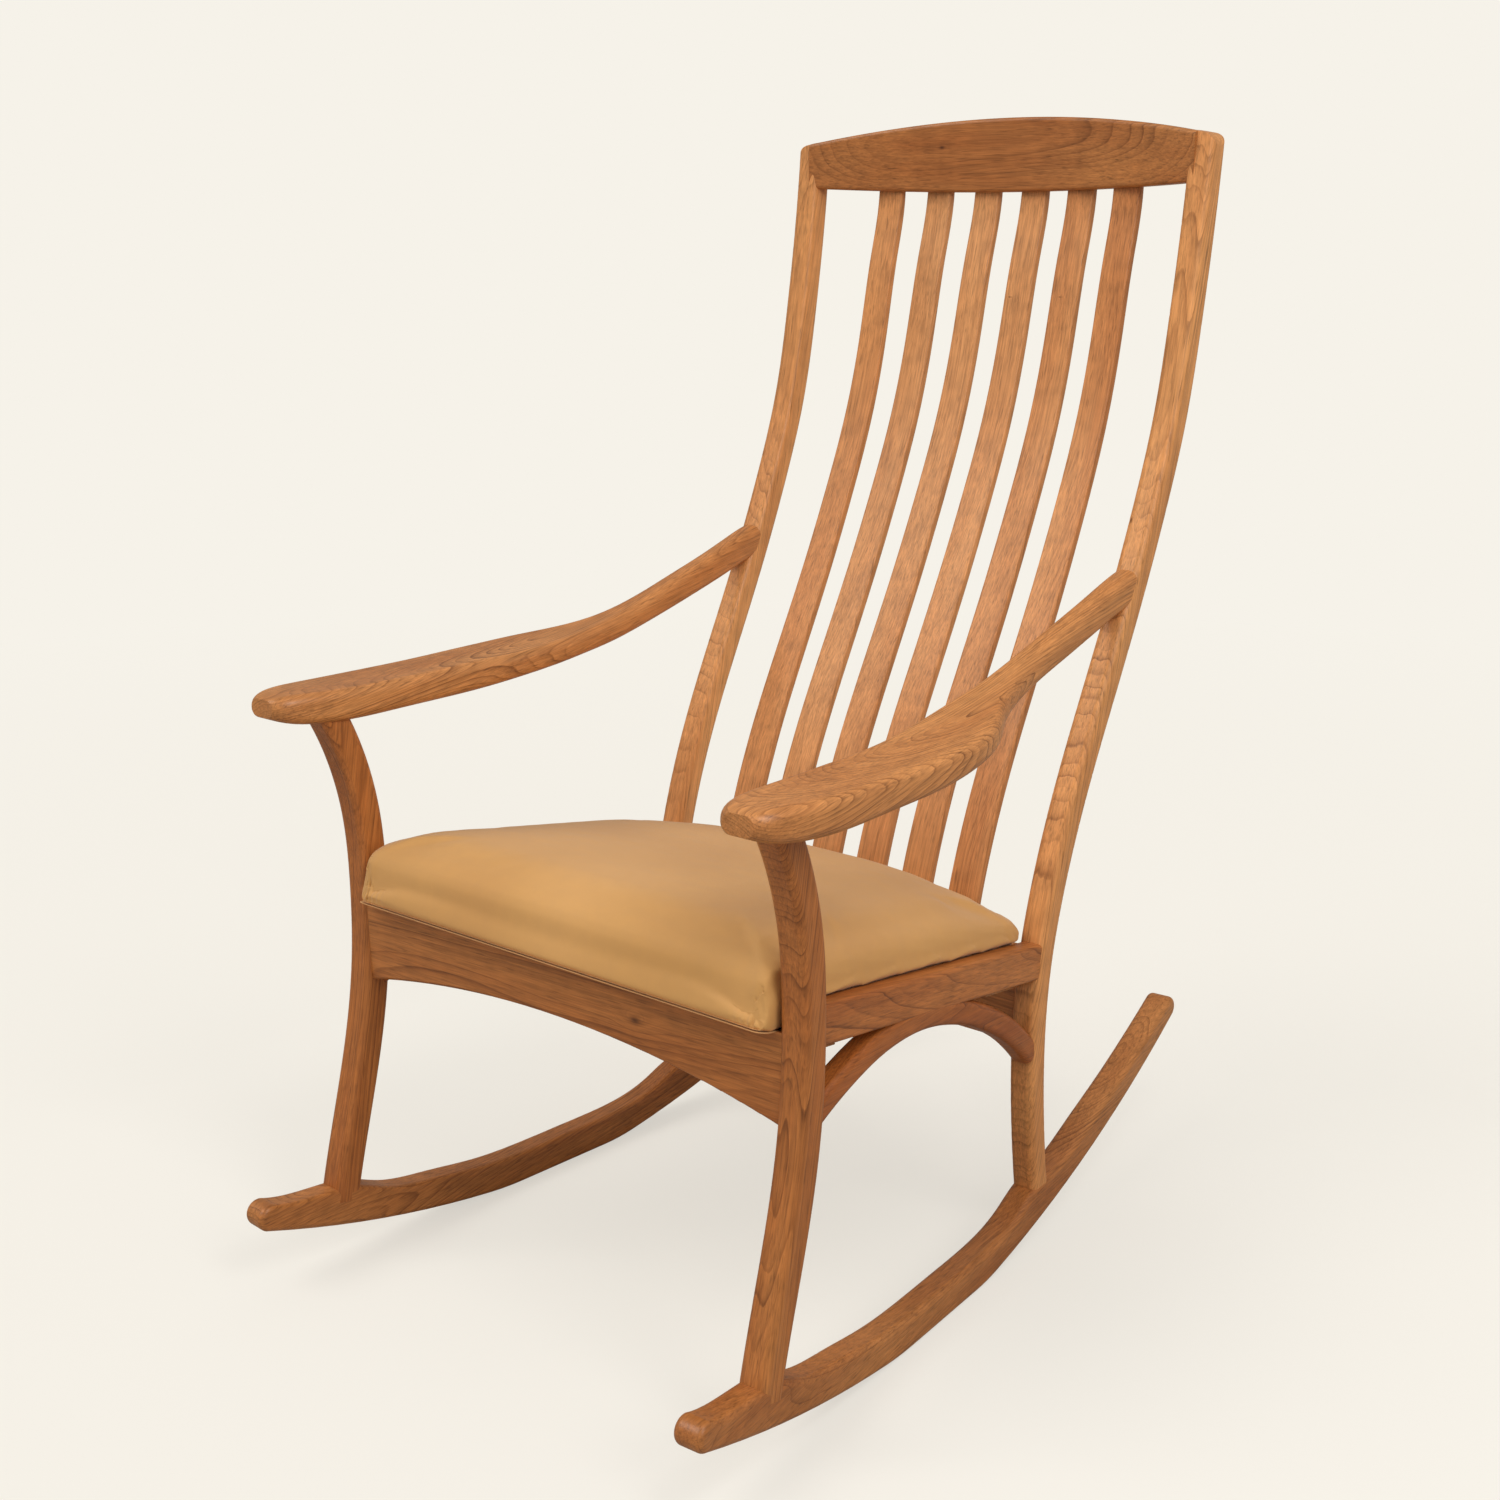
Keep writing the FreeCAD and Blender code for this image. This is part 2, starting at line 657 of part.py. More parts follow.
rear_rail_y = foot_y
for _ in range(5):
    rear_rail_top = rail_top(rear_rail_y) - size.board_drop + size.board_thickness
    rear_rail_y = post_y(rear_rail_top - size.rear_rail_depth / 2)
slat_foot_z = rear_rail_top - size.slat_housing
slat_top_z = crest_foot_z + size.slat_housing
SLAT_STEPS = 9
SLAT_PLACES = [size.slat_pitch * ((SLAT_COUNT - 1) / 2 - n) for n in range(SLAT_COUNT)]


def slat(label, x):
    """A bent slat of tapering width, from its housing in the rear rail to its housing in the crest."""
    heights = [slat_foot_z + (slat_top_z - slat_foot_z) * n / SLAT_STEPS for n in range(SLAT_STEPS + 1)]
    line = spline([V(x, slat_y(x, z), z) for z in heights])
    sections = []
    for n, z in enumerate(heights):
        point = at_height(line, z)
        along = line.tangent(line.parameter(point))[0]
        across = X_AXIS.cross(along)
        width = size.slat_foot_width + (size.slat_top_width - size.slat_foot_width) * n / SLAT_STEPS
        sections.append(rounded_section(point, X_AXIS, across, width, size.slat_thickness, size.slat_round))
    return shaped(label, loft(sections))


slats = [slat(f"back_slat_{n + 1}", x) for n, x in enumerate(SLAT_PLACES)]
for piece in slats:
    keep(piece, piece.Name)


def housings(label, height, width):
    """The sockets that take one end of every slat: boxes square to the slats' run at that height."""
    boxes = []
    for n, x in enumerate(SLAT_PLACES):
        ahead = slat_y(x, height + size.slat_housing) - slat_y(x, height - size.slat_housing)
        lean = math.degrees(math.atan2(ahead, 2 * size.slat_housing))
        box = doc.addObject("Part::Box", f"{label}_{n}")
        bind(box, Length=f"<{width}> + 2 * <housing_gap>", Width="<slat_thickness> + 2 * <housing_gap>",
             Height="2 * <slat_housing> + 2 * <housing_gap>")
        doc.recompute()
        turn = FreeCAD.Rotation(X_AXIS, -lean)
        to_corner = V(box.Length.Value, box.Width.Value, box.Height.Value) / -2
        box.Placement = FreeCAD.Placement(V(x, slat_y(x, height), height) + turn.multVec(to_corner), turn)
        boxes.append(box)
    return group(label, boxes)


crest_housings = housings("crest_housings", crest_foot_z, "slat_top_width")
rail_housings = housings("rail_housings", rear_rail_top, "slat_foot_width")


# Arms

def arm_station(share, inner, outer, climb, thick):
    """The middle, width and thickness of the arm at a share of its length."""
    y = leg_y - size.arm_lead + size.arm_length * share
    z = size.arm_height + size.arm_thickness / 2 + size.arm_climb * climb
    x = leg_x + (inner + outer) / 2 * size.arm_width
    return V(x, y, z), (outer - inner) * size.arm_width, size.arm_thickness * thick


def arm_shape():
    stations = [arm_station(*row) for row in ARM_SHARES]
    line = spline([V(0, middle.y, middle.z) for middle, _, _ in stations])
    sections = []
    for middle, width, thick in stations:
        along = line.tangent(line.parameter(V(0, middle.y, middle.z)))[0]
        up = V(0, -along.z, along.y)
        sections.append(rounded_section(middle, X_AXIS, up, width, thick, size.arm_round))
    return loft(sections)


arm = shaped("arm_blank", arm_shape())


# Seat frame

front_face_y = at_height(leg_curve, size.rail_height - size.front_rail_depth / 2).y - size.leg_size / 2
front_rail_y = front_face_y + size.face_recess + size.front_rail_thickness / 2
seat_front_y = leg_y - size.seat_lead
board_z = rail_top(seat_front_y) - size.board_drop
front_rail_top = rail_top(front_rail_y) - size.board_drop
front_rail_reach = leg_x - size.leg_size / 2 + size.coping

front_rail = new_body("front_rail_blank")
low = front_rail_top - size.front_rail_depth
bevel_top = front_rail_top + tilt * size.front_rail_thickness
corner = lambda side, z: V(side * front_rail_reach, 0, z)
pad(front_rail, "XZ_Plane", [
    Part.Arc(corner(-1, low), V(0, 0, low + size.front_rail_arch), corner(1, low)),
    Part.LineSegment(corner(1, low), corner(1, bevel_top)),
    Part.LineSegment(corner(1, bevel_top), corner(-1, bevel_top)),
    Part.LineSegment(corner(-1, bevel_top), corner(-1, low)),
], "<front_rail_thickness>")
arch_side = front_rail_top - size.face_recess
round_over(front_rail, lambda e: e.BoundBox.XLength > front_rail_reach and e.CenterOfMass.z < arch_side,
           "<front_rail_round>")
front_rail.Placement.Base = V(0, front_rail_y, 0)

rear_rail_reach = post_x(rear_rail_top) - size.post_size / 2 + size.coping
rear_rail = new_body("rear_rail_blank")
low = rear_rail_top - size.rear_rail_depth
corners = [V(side * rear_rail_reach, 0, z) for side, z in ((-1, low), (1, low), (1, rear_rail_top),
                                                           (-1, rear_rail_top))]
pad(rear_rail, "XZ_Plane", [Part.LineSegment(corners[n - 1], corners[n]) for n in range(len(corners))],
    "<rear_rail_thickness>")
round_over(rear_rail, lambda e: e.BoundBox.XLength > rear_rail_reach, "<rear_rail_round>")
rear_rail.Placement.Base = V(0, rear_rail_y, 0)


def side_outline(front_y, back_y, top, bottom):
    """A side rail's outline between two depths, along the splayed line; top and bottom give heights."""
    points = [(front_y, bottom), (back_y, bottom), (back_y, top), (front_y, top)]
    corners = [V(0, along_splay(y), edge(y)) for y, edge in points]
    return [Part.LineSegment(corners[n], corners[(n + 1) % 4]) for n in range(4)]


def set_in(body, thickness):
    """Stands a piece drawn in the middle plane just inside the legs' outer faces, on the splayed line."""
    inward = size.face_recess + thickness / 2
    turn = FreeCAD.Rotation(Z_AXIS, splay)
    start = V(outer_line(foot_y), foot_y, 0) + turn.multVec(V(-inward, 0, 0))
    body.Placement = FreeCAD.Placement(start, turn)
    doc.recompute()


rail_front_y = leg_y + size.leg_size / 2 - size.coping
rail_back_y = post_y(rail_top(foot_y)) - size.post_size / 2 + size.coping
side_rail = new_body("side_rail_blank")
pad(side_rail, "YZ_Plane",
    side_outline(rail_front_y, rail_back_y, rail_top, lambda y: rail_top(y) - size.side_rail_depth),
    "<side_rail_thickness>")
round_over(side_rail, lambda e: e.BoundBox.YLength > size.leg_size, "<side_rail_round>")
set_in(side_rail, size.side_rail_thickness)

# Arched braces

brace_crest_y = leg_y + BRACE_CREST_SHARE * size.post_foot_back
brace_top = rail_top(brace_crest_y) - size.side_rail_depth + size.brace_let_in
brace_curve = spline([V(0, along_splay(leg_y + size.post_foot_back * share),
                        brace_top - size.brace_depth / 2 - size.brace_rise * drop)
                      for share, drop in BRACE_SHARES])
brace = new_body("brace_blank")
pad(brace, "YZ_Plane", bar_outline(brace_curve, size.brace_depth / 2), "<brace_width>")
round_over(brace, lambda e: in_side_face(e, size.brace_width / 2) and not e.Curve.TypeId.endswith("Line"),
           "<brace_round>")
set_in(brace, size.brace_width)

# Slip seat, drawn flat on the underside of the board and then tilted into place

seat_turn = FreeCAD.Rotation(X_AXIS, -size.seat_tilt)
seat_place = FreeCAD.Placement(V(0, seat_front_y, board_z), seat_turn)
rail_level = size.board_drop * math.cos(math.radians(size.seat_tilt))
seat_length = (rear_rail_y - size.seat_rear_gap - seat_front_y) / math.cos(math.radians(size.seat_tilt))
board_reach = seat_length - size.seat_back_gap


def seat_width(y):
    """Half the cushion's widest outline at a distance back from its front edge."""
    depth = seat_front_y + y * math.cos(math.radians(size.seat_tilt))
    return outer_line(depth) - size.face_recess - size.side_rail_thickness + size.seat_overhang


def tray_width(y):
    """Half the width between the rails that the board and the cover's lower part pass."""
    front = leg_x - size.leg_size / 2 - size.board_clearance
    back = post_x(rear_rail_top) - size.post_size / 2 - size.board_clearance
    return front + (back - front) * y / seat_length


def seat_section(width, inset, height, back, radius):
    """A rounded tapering outline on the seat's own plane, drawn in evenly by an inset."""
    front_y, back_y = inset, back - inset
    half_front, half_back = width(front_y) - inset, width(back_y) - inset
    corners = [V(-half_front, front_y, height), V(half_front, front_y, height),
               V(half_back, back_y, height), V(-half_back, back_y, height)]
    r = min(radius, SEAT_ROUND_SHARES[0] * (back_y - front_y), SEAT_ROUND_SHARES[1] * half_back)
    edges, joints = [], []
    for n, here in enumerate(corners):
        before = (corners[n - 1] - here).normalize()
        after = (corners[(n + 1) % 4] - here).normalize()
        half_angle = before.getAngle(after) / 2
        reach = r / math.tan(half_angle)
        middle = (before + after).normalize() * (r / math.sin(half_angle) - r)
        joints.append((here + before * reach, here + middle, here + after * reach))
    for n, (start, middle, stop) in enumerate(joints):
        edges.append(Part.Arc(start, middle, stop).toShape())
        edges.append(Part.LineSegment(stop, joints[(n + 1) % 4][0]).toShape())
    return Part.Wire(edges)


def cushion_form(skin):
    """The cushion's outer form, drawn in all round by the thickness of its skin."""
    radius = size.seat_corner_radius
    crown = [seat_section(seat_width, size.crown_height * drawn + skin,
                          rail_level + size.crown_height * up - skin, seat_length, radius)
             for up, drawn in CUSHION_SHARES[1:]]
    foot_up, foot_in = CUSHION_SHARES[0]
    foot = seat_section(seat_width, size.crown_height * foot_in + skin,
                        rail_level + size.crown_height * foot_up + skin, seat_length, radius)
    upper = loft([foot] + crown, ruled=True)
    lip = skin + size.soft_clearance
    tray = [seat_section(tray_width, skin, z, board_reach, size.tray_corner_radius)
            for z in (skin, rail_level + size.crown_height * TRAY_TOP_SHARE)]
    lower = loft(tray, ruled=True)
    front_trim = Part.makeBox(4 * leg_x, lip, 4 * rail_level, V(-2 * leg_x, 0, -rail_level))
    return upper.fuse(lower.cut(front_trim)).removeSplitter()


def leg_notch(side, clearance):
    """The room that the cushion leaves round a front leg."""
    gap = size.board_clearance / 2 + clearance
    width = 2 * size.leg_size
    reach = size.seat_lead + size.leg_size / 2 + gap + size.leg_size
    start = V(leg_x - size.leg_size / 2 - gap, -size.leg_size, -size.leg_size)
    if side < 0:
        start.x = -start.x - width
    return Part.makeBox(width, reach, 3 * size.leg_size + size.crown_height, start)


def notched(shape, clearance):
    for side in (-1, 1):
        shape = shape.cut(leg_notch(side, clearance))
    return shape


skin = size.cover_thickness
outside = notched(cushion_form(0.0), 0.0)
inside = notched(cushion_form(skin), skin)
foam_form = notched(cushion_form(skin + size.soft_clearance), skin + size.soft_clearance)
margin = size.cover_margin
window = Part.Face(seat_section(tray_width, margin, 0.0, board_reach, size.tray_corner_radius))
window = window.extrude(V(0, 0, size.board_thickness))
cover = shaped("cover_form", outside.cut(inside).cut(window))
board_level = skin + size.board_thickness
under_foam = Part.makeBox(4 * leg_x, 2 * seat_length, 2 * board_level,
                          V(-2 * leg_x, -seat_length / 2, -board_level))
foam = shaped("foam_form", foam_form.cut(under_foam))
board_inset = skin + size.soft_clearance + size.crown_height * CUSHION_SHARES[0][1]
board_outline = seat_section(tray_width, board_inset, skin, board_reach, size.tray_corner_radius)
board = shaped("board_form", Part.Face(board_outline).extrude(V(0, 0, size.board_thickness)))
for piece in (cover, foam, board):
    piece.Placement = seat_place

seat_space = doc.addObject("Part::Box", "seat_space")
bind(seat_space, Length="2 * <leg_spread>", Width="3 * <post_foot_back>", Height="2 * <crown_height>")
seat_space.Placement = seat_place.multiply(FreeCAD.Placement(V(-size.leg_spread, -size.post_foot_back, 0),
                                                             FreeCAD.Rotation()))
doc.recompute()

# Corner blocks and their screws

def in_seat(point):
    return seat_place.multVec(point)


def rail_inside(y):
    """Inner face of the side rail at a distance back along the seat."""
    depth = seat_front_y + y * math.cos(math.radians(size.seat_tilt))
    return outer_line(depth) - (size.face_recess + size.side_rail_thickness) / math.cos(math.radians(splay))


def screw(label, head, direction, length):
    """A countersunk screw whose head's flat face is centred on a point."""
    direction = V(direction).normalize()
    turn = FreeCAD.Rotation(Z_AXIS, direction)
    cone = doc.addObject("Part::Cone", f"{label}_head")
    bind(cone, Radius1="<screw_head> / 2", Radius2="<screw_shank> / 2", Height="<screw_head_depth>")
    shank = doc.addObject("Part::Cylinder", f"{label}_shank")
    bind(shank, Radius="<screw_shank> / 2", Height=length)
    for thing in (cone, shank):
        thing.Placement = FreeCAD.Placement(head, turn)
    whole = doc.addObject("Part::Fuse", label)
    whole.Base = cone
    whole.Tool = shank
    doc.recompute()
    return whole


def corner_block(name, corner_y, way, leg_face_x, leg_face_y):
    """A three-sided block in a corner of the seat frame, and its screws into the leg and the board."""
    overlap = size.block_depth * tilt + size.front_rail_round
    a, b = corner_y, corner_y + way * size.block_leg
    points = [V(rail_inside(a), a, 0), V(rail_inside(a) - size.block_leg, a, 0), V(rail_inside(b), b, 0)]
    into_rail = V(0, -way * overlap, 0)
    outline = [points[2], points[0], points[0] + into_rail, points[1] + into_rail, points[1], points[2]]
    block = Part.Face(Part.makePolygon(outline)).extrude(V(0, 0, -size.block_depth))
    block.Placement = seat_place
    notch = Part.makeBox(size.block_leg, size.block_leg, size.rail_height)
    notch.translate(V(leg_face_x - size.glue_gap, leg_face_y - size.glue_gap, 0))
    if way > 0:
        notch.translate(V(0, 2 * size.glue_gap - size.block_leg, 0))
    blank = shaped(f"{name}_blank", block.cut(notch))
    face_middle = (points[1] + points[2]) / 2 - V(0, 0, size.block_depth / 2)
    toward = points[0] - (points[1] + points[2]) / 2
    leg_screw = screw(f"{name}_leg_screw", in_seat(face_middle), seat_turn.multVec(toward),
                      "<block_screw_length>")
    aside = V(0, 0, -size.block_depth)
    for point, share in zip(points, BOARD_SCREW_SHARES):
        aside += point * share
    board_screw = screw(f"{name}_board_screw", in_seat(aside), seat_turn.multVec(Z_AXIS),
                        "<block_depth> + <screw_reach>")
    return blank, leg_screw, board_screw


def along_seat(y):
    """Distance back along the tilted seat to a depth."""
    return (y - seat_front_y) / math.cos(math.radians(size.seat_tilt))


front_corner = along_seat(front_rail_y + size.front_rail_thickness / 2)
rear_corner = along_seat(rear_rail_y - size.rear_rail_thickness / 2)
front_block_z = front_rail_top - size.block_depth / 2
rear_block_z = rear_rail_top - size.block_depth / 2
front_block, front_leg_screw, front_board_screw = corner_block(
    "front_block", front_corner, 1, leg_x - size.leg_size / 2,
    at_height(leg_curve, front_block_z).y + size.leg_size / 2)
rear_block, rear_leg_screw, rear_board_screw = corner_block(
    "rear_block", rear_corner, -1, post_x(rear_block_z) - size.post_size / 2,
    post_y(rear_block_z) - size.post_size / 2)
block_screws = group("block_screws", [front_leg_screw, rear_leg_screw])
board_screws = group("board_screws", [front_board_screw, rear_board_screw])

# Dowels

rail_direction = V(-math.sin(math.radians(splay)), math.cos(math.radians(splay)), 0)
leg_tangent = lambda z: leg_curve.tangent(leg_curve.parameter(at_height(leg_curve, z)))[0]
post_tangent = lambda z: post_curve.tangent(post_curve.parameter(at_height(post_curve, z)))[0]

leg_rocker_holes = dowels("leg_rocker_dowels", [(V(leg_x, leg_foot_y, leg_foot_z), leg_tangent(leg_foot_z))],
                          "dowel_large", "dowel_length")
post_rocker_holes = dowels("post_rocker_dowels",
                           [(V(foot_x, foot_y, post_foot_z), post_tangent(post_foot_z))],
                           "dowel_large", "dowel_length")
leg_top = at_height(leg_curve, size.arm_height)
leg_arm_holes = dowels("leg_arm_dowels", [(V(leg_x, leg_top.y, leg_top.z), leg_tangent(leg_top.z))],
                       "dowel_large", "dowel_short")
arm_end, arm_near = arm_station(*ARM_SHARES[-1])[0], arm_station(*ARM_SHARES[-3])[0]
arm_direction = (arm_end - arm_near).normalize()
arm_face = arm_end
for _ in range(5):
    run = (post_y(arm_face.z) - size.post_size / 2 - arm_near.y) / arm_direction.y
    arm_face = arm_near + arm_direction * run
arm_post_holes = dowels("arm_post_dowels", [(arm_face, arm_direction)], "dowel_small", "dowel_short")
front_end_x = leg_x - size.leg_size / 2
front_middle = front_rail_top - size.front_rail_depth / 2
front_rail_holes = dowels("front_rail_dowels",
                          [(V(front_end_x, front_rail_y, front_middle + way * size.dowel_pitch), X_AXIS)
                           for way in (-1, 1)], "dowel_small", "dowel_short")


def rail_centre(y, inset):
    """Plan position of a piece set in from the outer faces, at a depth."""
    return V(outer_line(y) - (size.face_recess + inset / 2) / math.cos(math.radians(splay)), y, 0)


def side_places(y):
    middle = rail_centre(y, size.side_rail_thickness)
    height = rail_top(y) - size.side_rail_depth / 2
    return [(middle + V(0, 0, height + way * size.dowel_pitch / 2), rail_direction) for way in (-1, 1)]


leg_back_y = at_height(leg_curve, size.rail_height - size.side_rail_depth / 2).y + size.leg_size / 2
post_front_y = post_y(rail_top(foot_y) - size.side_rail_depth / 2) - size.post_size / 2
side_rail_holes = dowels("side_rail_dowels", side_places(leg_back_y) + side_places(post_front_y),
                         "dowel_small", "dowel_short")
rear_middle = rear_rail_top - size.rear_rail_depth / 2
rear_end_x = post_x(rear_middle) - size.post_size / 2
rear_rail_holes = dowels("rear_rail_dowels",
                         [(V(rear_end_x, rear_rail_y, rear_middle + way * size.dowel_pitch), X_AXIS)
                          for way in (-1, 1)], "dowel_small", "dowel_short")
crest_end_low = crest_foot_z + size.crest_bottom_rise
crest_end_top = size.crest_height - size.crest_top_rise
crest_end_middle = (crest_end_low + crest_end_top) / 2
crest_dowel_reach = size.dowel_pitch * CREST_DOWEL_SHARE
crest_holes = dowels("crest_dowels",
                     [(V(crest_half, crest_y(crest_half), crest_end_middle + way * crest_dowel_reach), X_AXIS)
                      for way in (-1, 1)], "dowel_small", "dowel_short")


def brace_end(y):
    """Where the brace's centre line meets a depth, and its direction there."""
    target = along_splay(y)
    low_u, high_u = brace_curve.FirstParameter, brace_curve.LastParameter
    for _ in range(60):
        middle_u = (low_u + high_u) / 2
        if brace_curve.value(middle_u).y < target:
            low_u = middle_u
        else:
            high_u = middle_u
    point, along = brace_curve.value(low_u), brace_curve.tangent(low_u)[0]
    direction = rail_direction * along.y + Z_AXIS * along.z
    return rail_centre(y, size.brace_width) + V(0, 0, point.z), direction


brace_front = brace_end(leg_y + size.leg_size / 2)
brace_back = brace_end(post_y(brace_end(foot_y)[0].z) - size.post_size / 2)
brace_holes = dowels("brace_dowels", [brace_front, brace_back], "dowel_small", "dowel_short")

# Finished pieces, each fitted round the ones that it meets

left, right = 0, 1
both_sides(less("rocker", rocker, leg_rocker_holes[left], post_rocker_holes[left]), "rocker")
both_sides(less("front_leg", leg, rocker, arm, leg_rocker_holes[left], leg_arm_holes[left],
                front_rail_holes[left], side_rail_holes[left], brace_holes[left], block_screws), "front_leg")
both_sides(less("back_post", post_shaped, rocker, post_rocker_holes[left], arm_post_holes[left],
                side_rail_holes[left], rear_rail_holes[left], crest_holes[left], brace_holes[left],
                block_screws), "back_post")
both_sides(less("arm", arm, post_shaped, leg_arm_holes[left], arm_post_holes[left]), "arm")
both_sides(less("side_rail", side_rail, leg, post, brace, side_rail_holes[left]), "side_rail")
both_sides(less("arch_brace", brace, leg, post, brace_holes[left]), "arch_brace")

right_leg = mirrored(leg, "right_leg_shape")
right_post = mirrored(post, "right_post_shape")
keep(less("crest", crest, post, right_post, crest_housings, *crest_holes), "crest_rail")
right_block_screws = mirrored(block_screws, "right_block_screws")
keep(less("front_rail", front_rail, leg, right_leg, seat_space, *front_rail_holes,
          block_screws, right_block_screws), "front_seat_rail")
keep(less("rear_rail", rear_rail, post, right_post, rail_housings, *rear_rail_holes,
          block_screws, right_block_screws), "rear_seat_rail")
both_sides(less("front_block", front_block, front_rail, block_screws, board_screws), "front_corner_block")
both_sides(less("rear_block", rear_block, rear_rail, block_screws, board_screws), "rear_corner_block")
keep(group("all_block_screws", [block_screws, right_block_screws]), "corner_block_screws")
right_board_screws = mirrored(board_screws, "right_board_screws")
keep(group("all_board_screws", [board_screws, right_board_screws]), "seat_screws")
keep(less("board", board, board_screws, right_board_screws), "seat_board")
keep(foam, "seat_foam")
keep(cover, "seat_cover")

# Checks, then one file for each piece

doc.recompute()
for thing in doc.Objects:
    if {"Invalid", "Error"} & set(thing.State):
        raise RuntimeError(f"{thing.Name}: {thing.State}")
for piece in nodes:
    if piece.Shape.isNull() or not piece.Shape.isValid():
        raise RuntimeError(f"{piece.Label} has no valid shape")
os.makedirs("parts", exist_ok=True)
for piece in nodes:
    piece.Shape.exportStep(f"parts/{piece.Label}.step")
print(f"{len(nodes)} nodes written")
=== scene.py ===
# %% [markdown]
# # Dressing a wooden rocking chair
#
# The chair's wooden pieces arrive as solids that already have their places. Each gets timber of its own
# here, cut from one imagined log after another. The padded seat is blown up like a balloon from its core,
# and the camera, the floor and the lights follow.

import math

import bmesh
import bpy
import numpy as np
from mathutils import Matrix, Vector
from mathutils.bvhtree import BVHTree


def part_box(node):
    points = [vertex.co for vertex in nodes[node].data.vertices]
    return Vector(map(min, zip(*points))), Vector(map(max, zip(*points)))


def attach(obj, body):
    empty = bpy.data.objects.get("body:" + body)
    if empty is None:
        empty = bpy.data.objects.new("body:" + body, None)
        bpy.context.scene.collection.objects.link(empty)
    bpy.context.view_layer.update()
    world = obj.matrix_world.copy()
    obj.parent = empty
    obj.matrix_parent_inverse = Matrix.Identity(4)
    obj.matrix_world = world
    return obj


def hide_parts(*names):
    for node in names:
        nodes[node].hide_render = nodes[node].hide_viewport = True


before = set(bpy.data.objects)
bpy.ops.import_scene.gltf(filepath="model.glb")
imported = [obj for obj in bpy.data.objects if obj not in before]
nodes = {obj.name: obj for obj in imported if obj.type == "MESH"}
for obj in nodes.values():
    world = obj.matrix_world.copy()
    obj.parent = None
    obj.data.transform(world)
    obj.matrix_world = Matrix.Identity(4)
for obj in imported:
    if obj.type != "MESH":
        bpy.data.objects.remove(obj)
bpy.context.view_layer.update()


# %% [markdown]
# ## A shorter way to write shaders
#
# A shader is a set of small nodes with wires between them. The class below adds a node and joins it in one
# line. Colours are given as the numbers that a paint program shows, and turned into light values.

# %% Shader helpers
def paint(red, green, blue):
    """A colour from 0 to 255 a channel, as linear light with full opacity."""
    shares = [v / 255 for v in (red, green, blue)]
    return tuple(s / 12.92 if s <= 0.04045 else ((s + 0.055) / 1.055) ** 2.4 for s in shares) + (1.0,)


class Graph:
    """A new material and the nodes in it."""

    def __init__(self, name):
        self.material = bpy.data.materials.new(name)
        self.material.use_nodes = True
        self.tree = self.material.node_tree
        self.tree.nodes.clear()
        self.place = self.node("ShaderNodeTexCoord").outputs["Object"]

    def node(self, kind, inputs=None, **settings):
        """Adds a node. An input is either a plain value or another node's output, which is wired to it."""
        made = self.tree.nodes.new(kind)
        for key, value in settings.items():
            setattr(made, key, value)
        for key, value in (inputs or {}).items():
            if isinstance(value, bpy.types.NodeSocket):
                self.tree.links.new(value, made.inputs[key])
            else:
                made.inputs[key].default_value = value
        return made

    def math(self, operation, *values, clamp=False):
        made = self.node("ShaderNodeMath", dict(enumerate(values)), operation=operation, use_clamp=clamp)
        return made.outputs[0]

    def vector(self, operation, *values):
        made = self.node("ShaderNodeVectorMath", dict(enumerate(values)), operation=operation)
        return made.outputs["Value" if operation in ("LENGTH", "DOT_PRODUCT") else "Vector"]

    def noise(self, place, stretch, seed=0.0, detail=2.0, roughness=0.5, colour=False):
        """Smooth random values. Stretch says how many features fit in a metre along each direction."""
        at = self.vector("MULTIPLY_ADD", place, stretch, (seed * 3.7, seed * 1.9, seed * 5.3))
        made = self.node("ShaderNodeTexNoise",
                         {"Vector": at, "Scale": 1.0, "Detail": detail, "Roughness": roughness})
        return made.outputs["Color" if colour else "Fac"]

    def ramp(self, value, stops):
        """A value turned into a colour by the stops on either side of it."""
        made = self.node("ShaderNodeValToRGB", {"Fac": value})
        bar = made.color_ramp.elements
        while len(bar) < len(stops):
            bar.new(0.5)
        for element, (position, colour) in zip(bar, stops):
            element.position = position
            element.color = colour if isinstance(colour, tuple) else (colour, colour, colour, 1.0)
        return made.outputs["Color"]

    def blend(self, share, first, second, mode="MIX"):
        """The share of the second colour over the first one."""
        made = self.node("ShaderNodeMix", {0: share, 6: first, 7: second}, data_type="RGBA", blend_type=mode)
        return made.outputs[2]

    def spread(self, value, low, high, new_low, new_high):
        """The range from low to high drawn out to a new range, and cut off at its ends."""
        made = self.node("ShaderNodeMapRange", {0: value, 1: low, 2: high, 3: new_low, 4: new_high})
        return made.outputs[0]

    def finish(self, shader):
        self.node("ShaderNodeOutputMaterial", {"Surface": shader})
        return self.material


# %% [markdown]
# ## Timber
#
# A tree grows in rings, so a board's figure is what a set of nested tubes looks like where the board's
# faces cut it. Each piece is placed beside the middle of a log, the pith. A board far to the side of the
# pith shows straight lines. One in front of it shows the arches that joiners call cathedrals, because the
# log leans a little against the board.

# %% A piece's place in its log
def log_frame(grain, face, lean):
    """Three directions as rows: out of the face, across it, and along the log, which leans out of it."""
    along = Vector(grain).normalized()
    out = Vector(face)
    out = (out - along * along.dot(out)).normalized()
    along = (along + out * math.tan(math.radians(lean))).normalized()
    out = (out - along * along.dot(out)).normalized()
    return Matrix((out, along.cross(out), along))


# %% [markdown]
# A log is never round. Slow noise bends its rings, quick noise makes them tremble, and a knot or a swell
# pushes them outwards like a bump under a sheet.

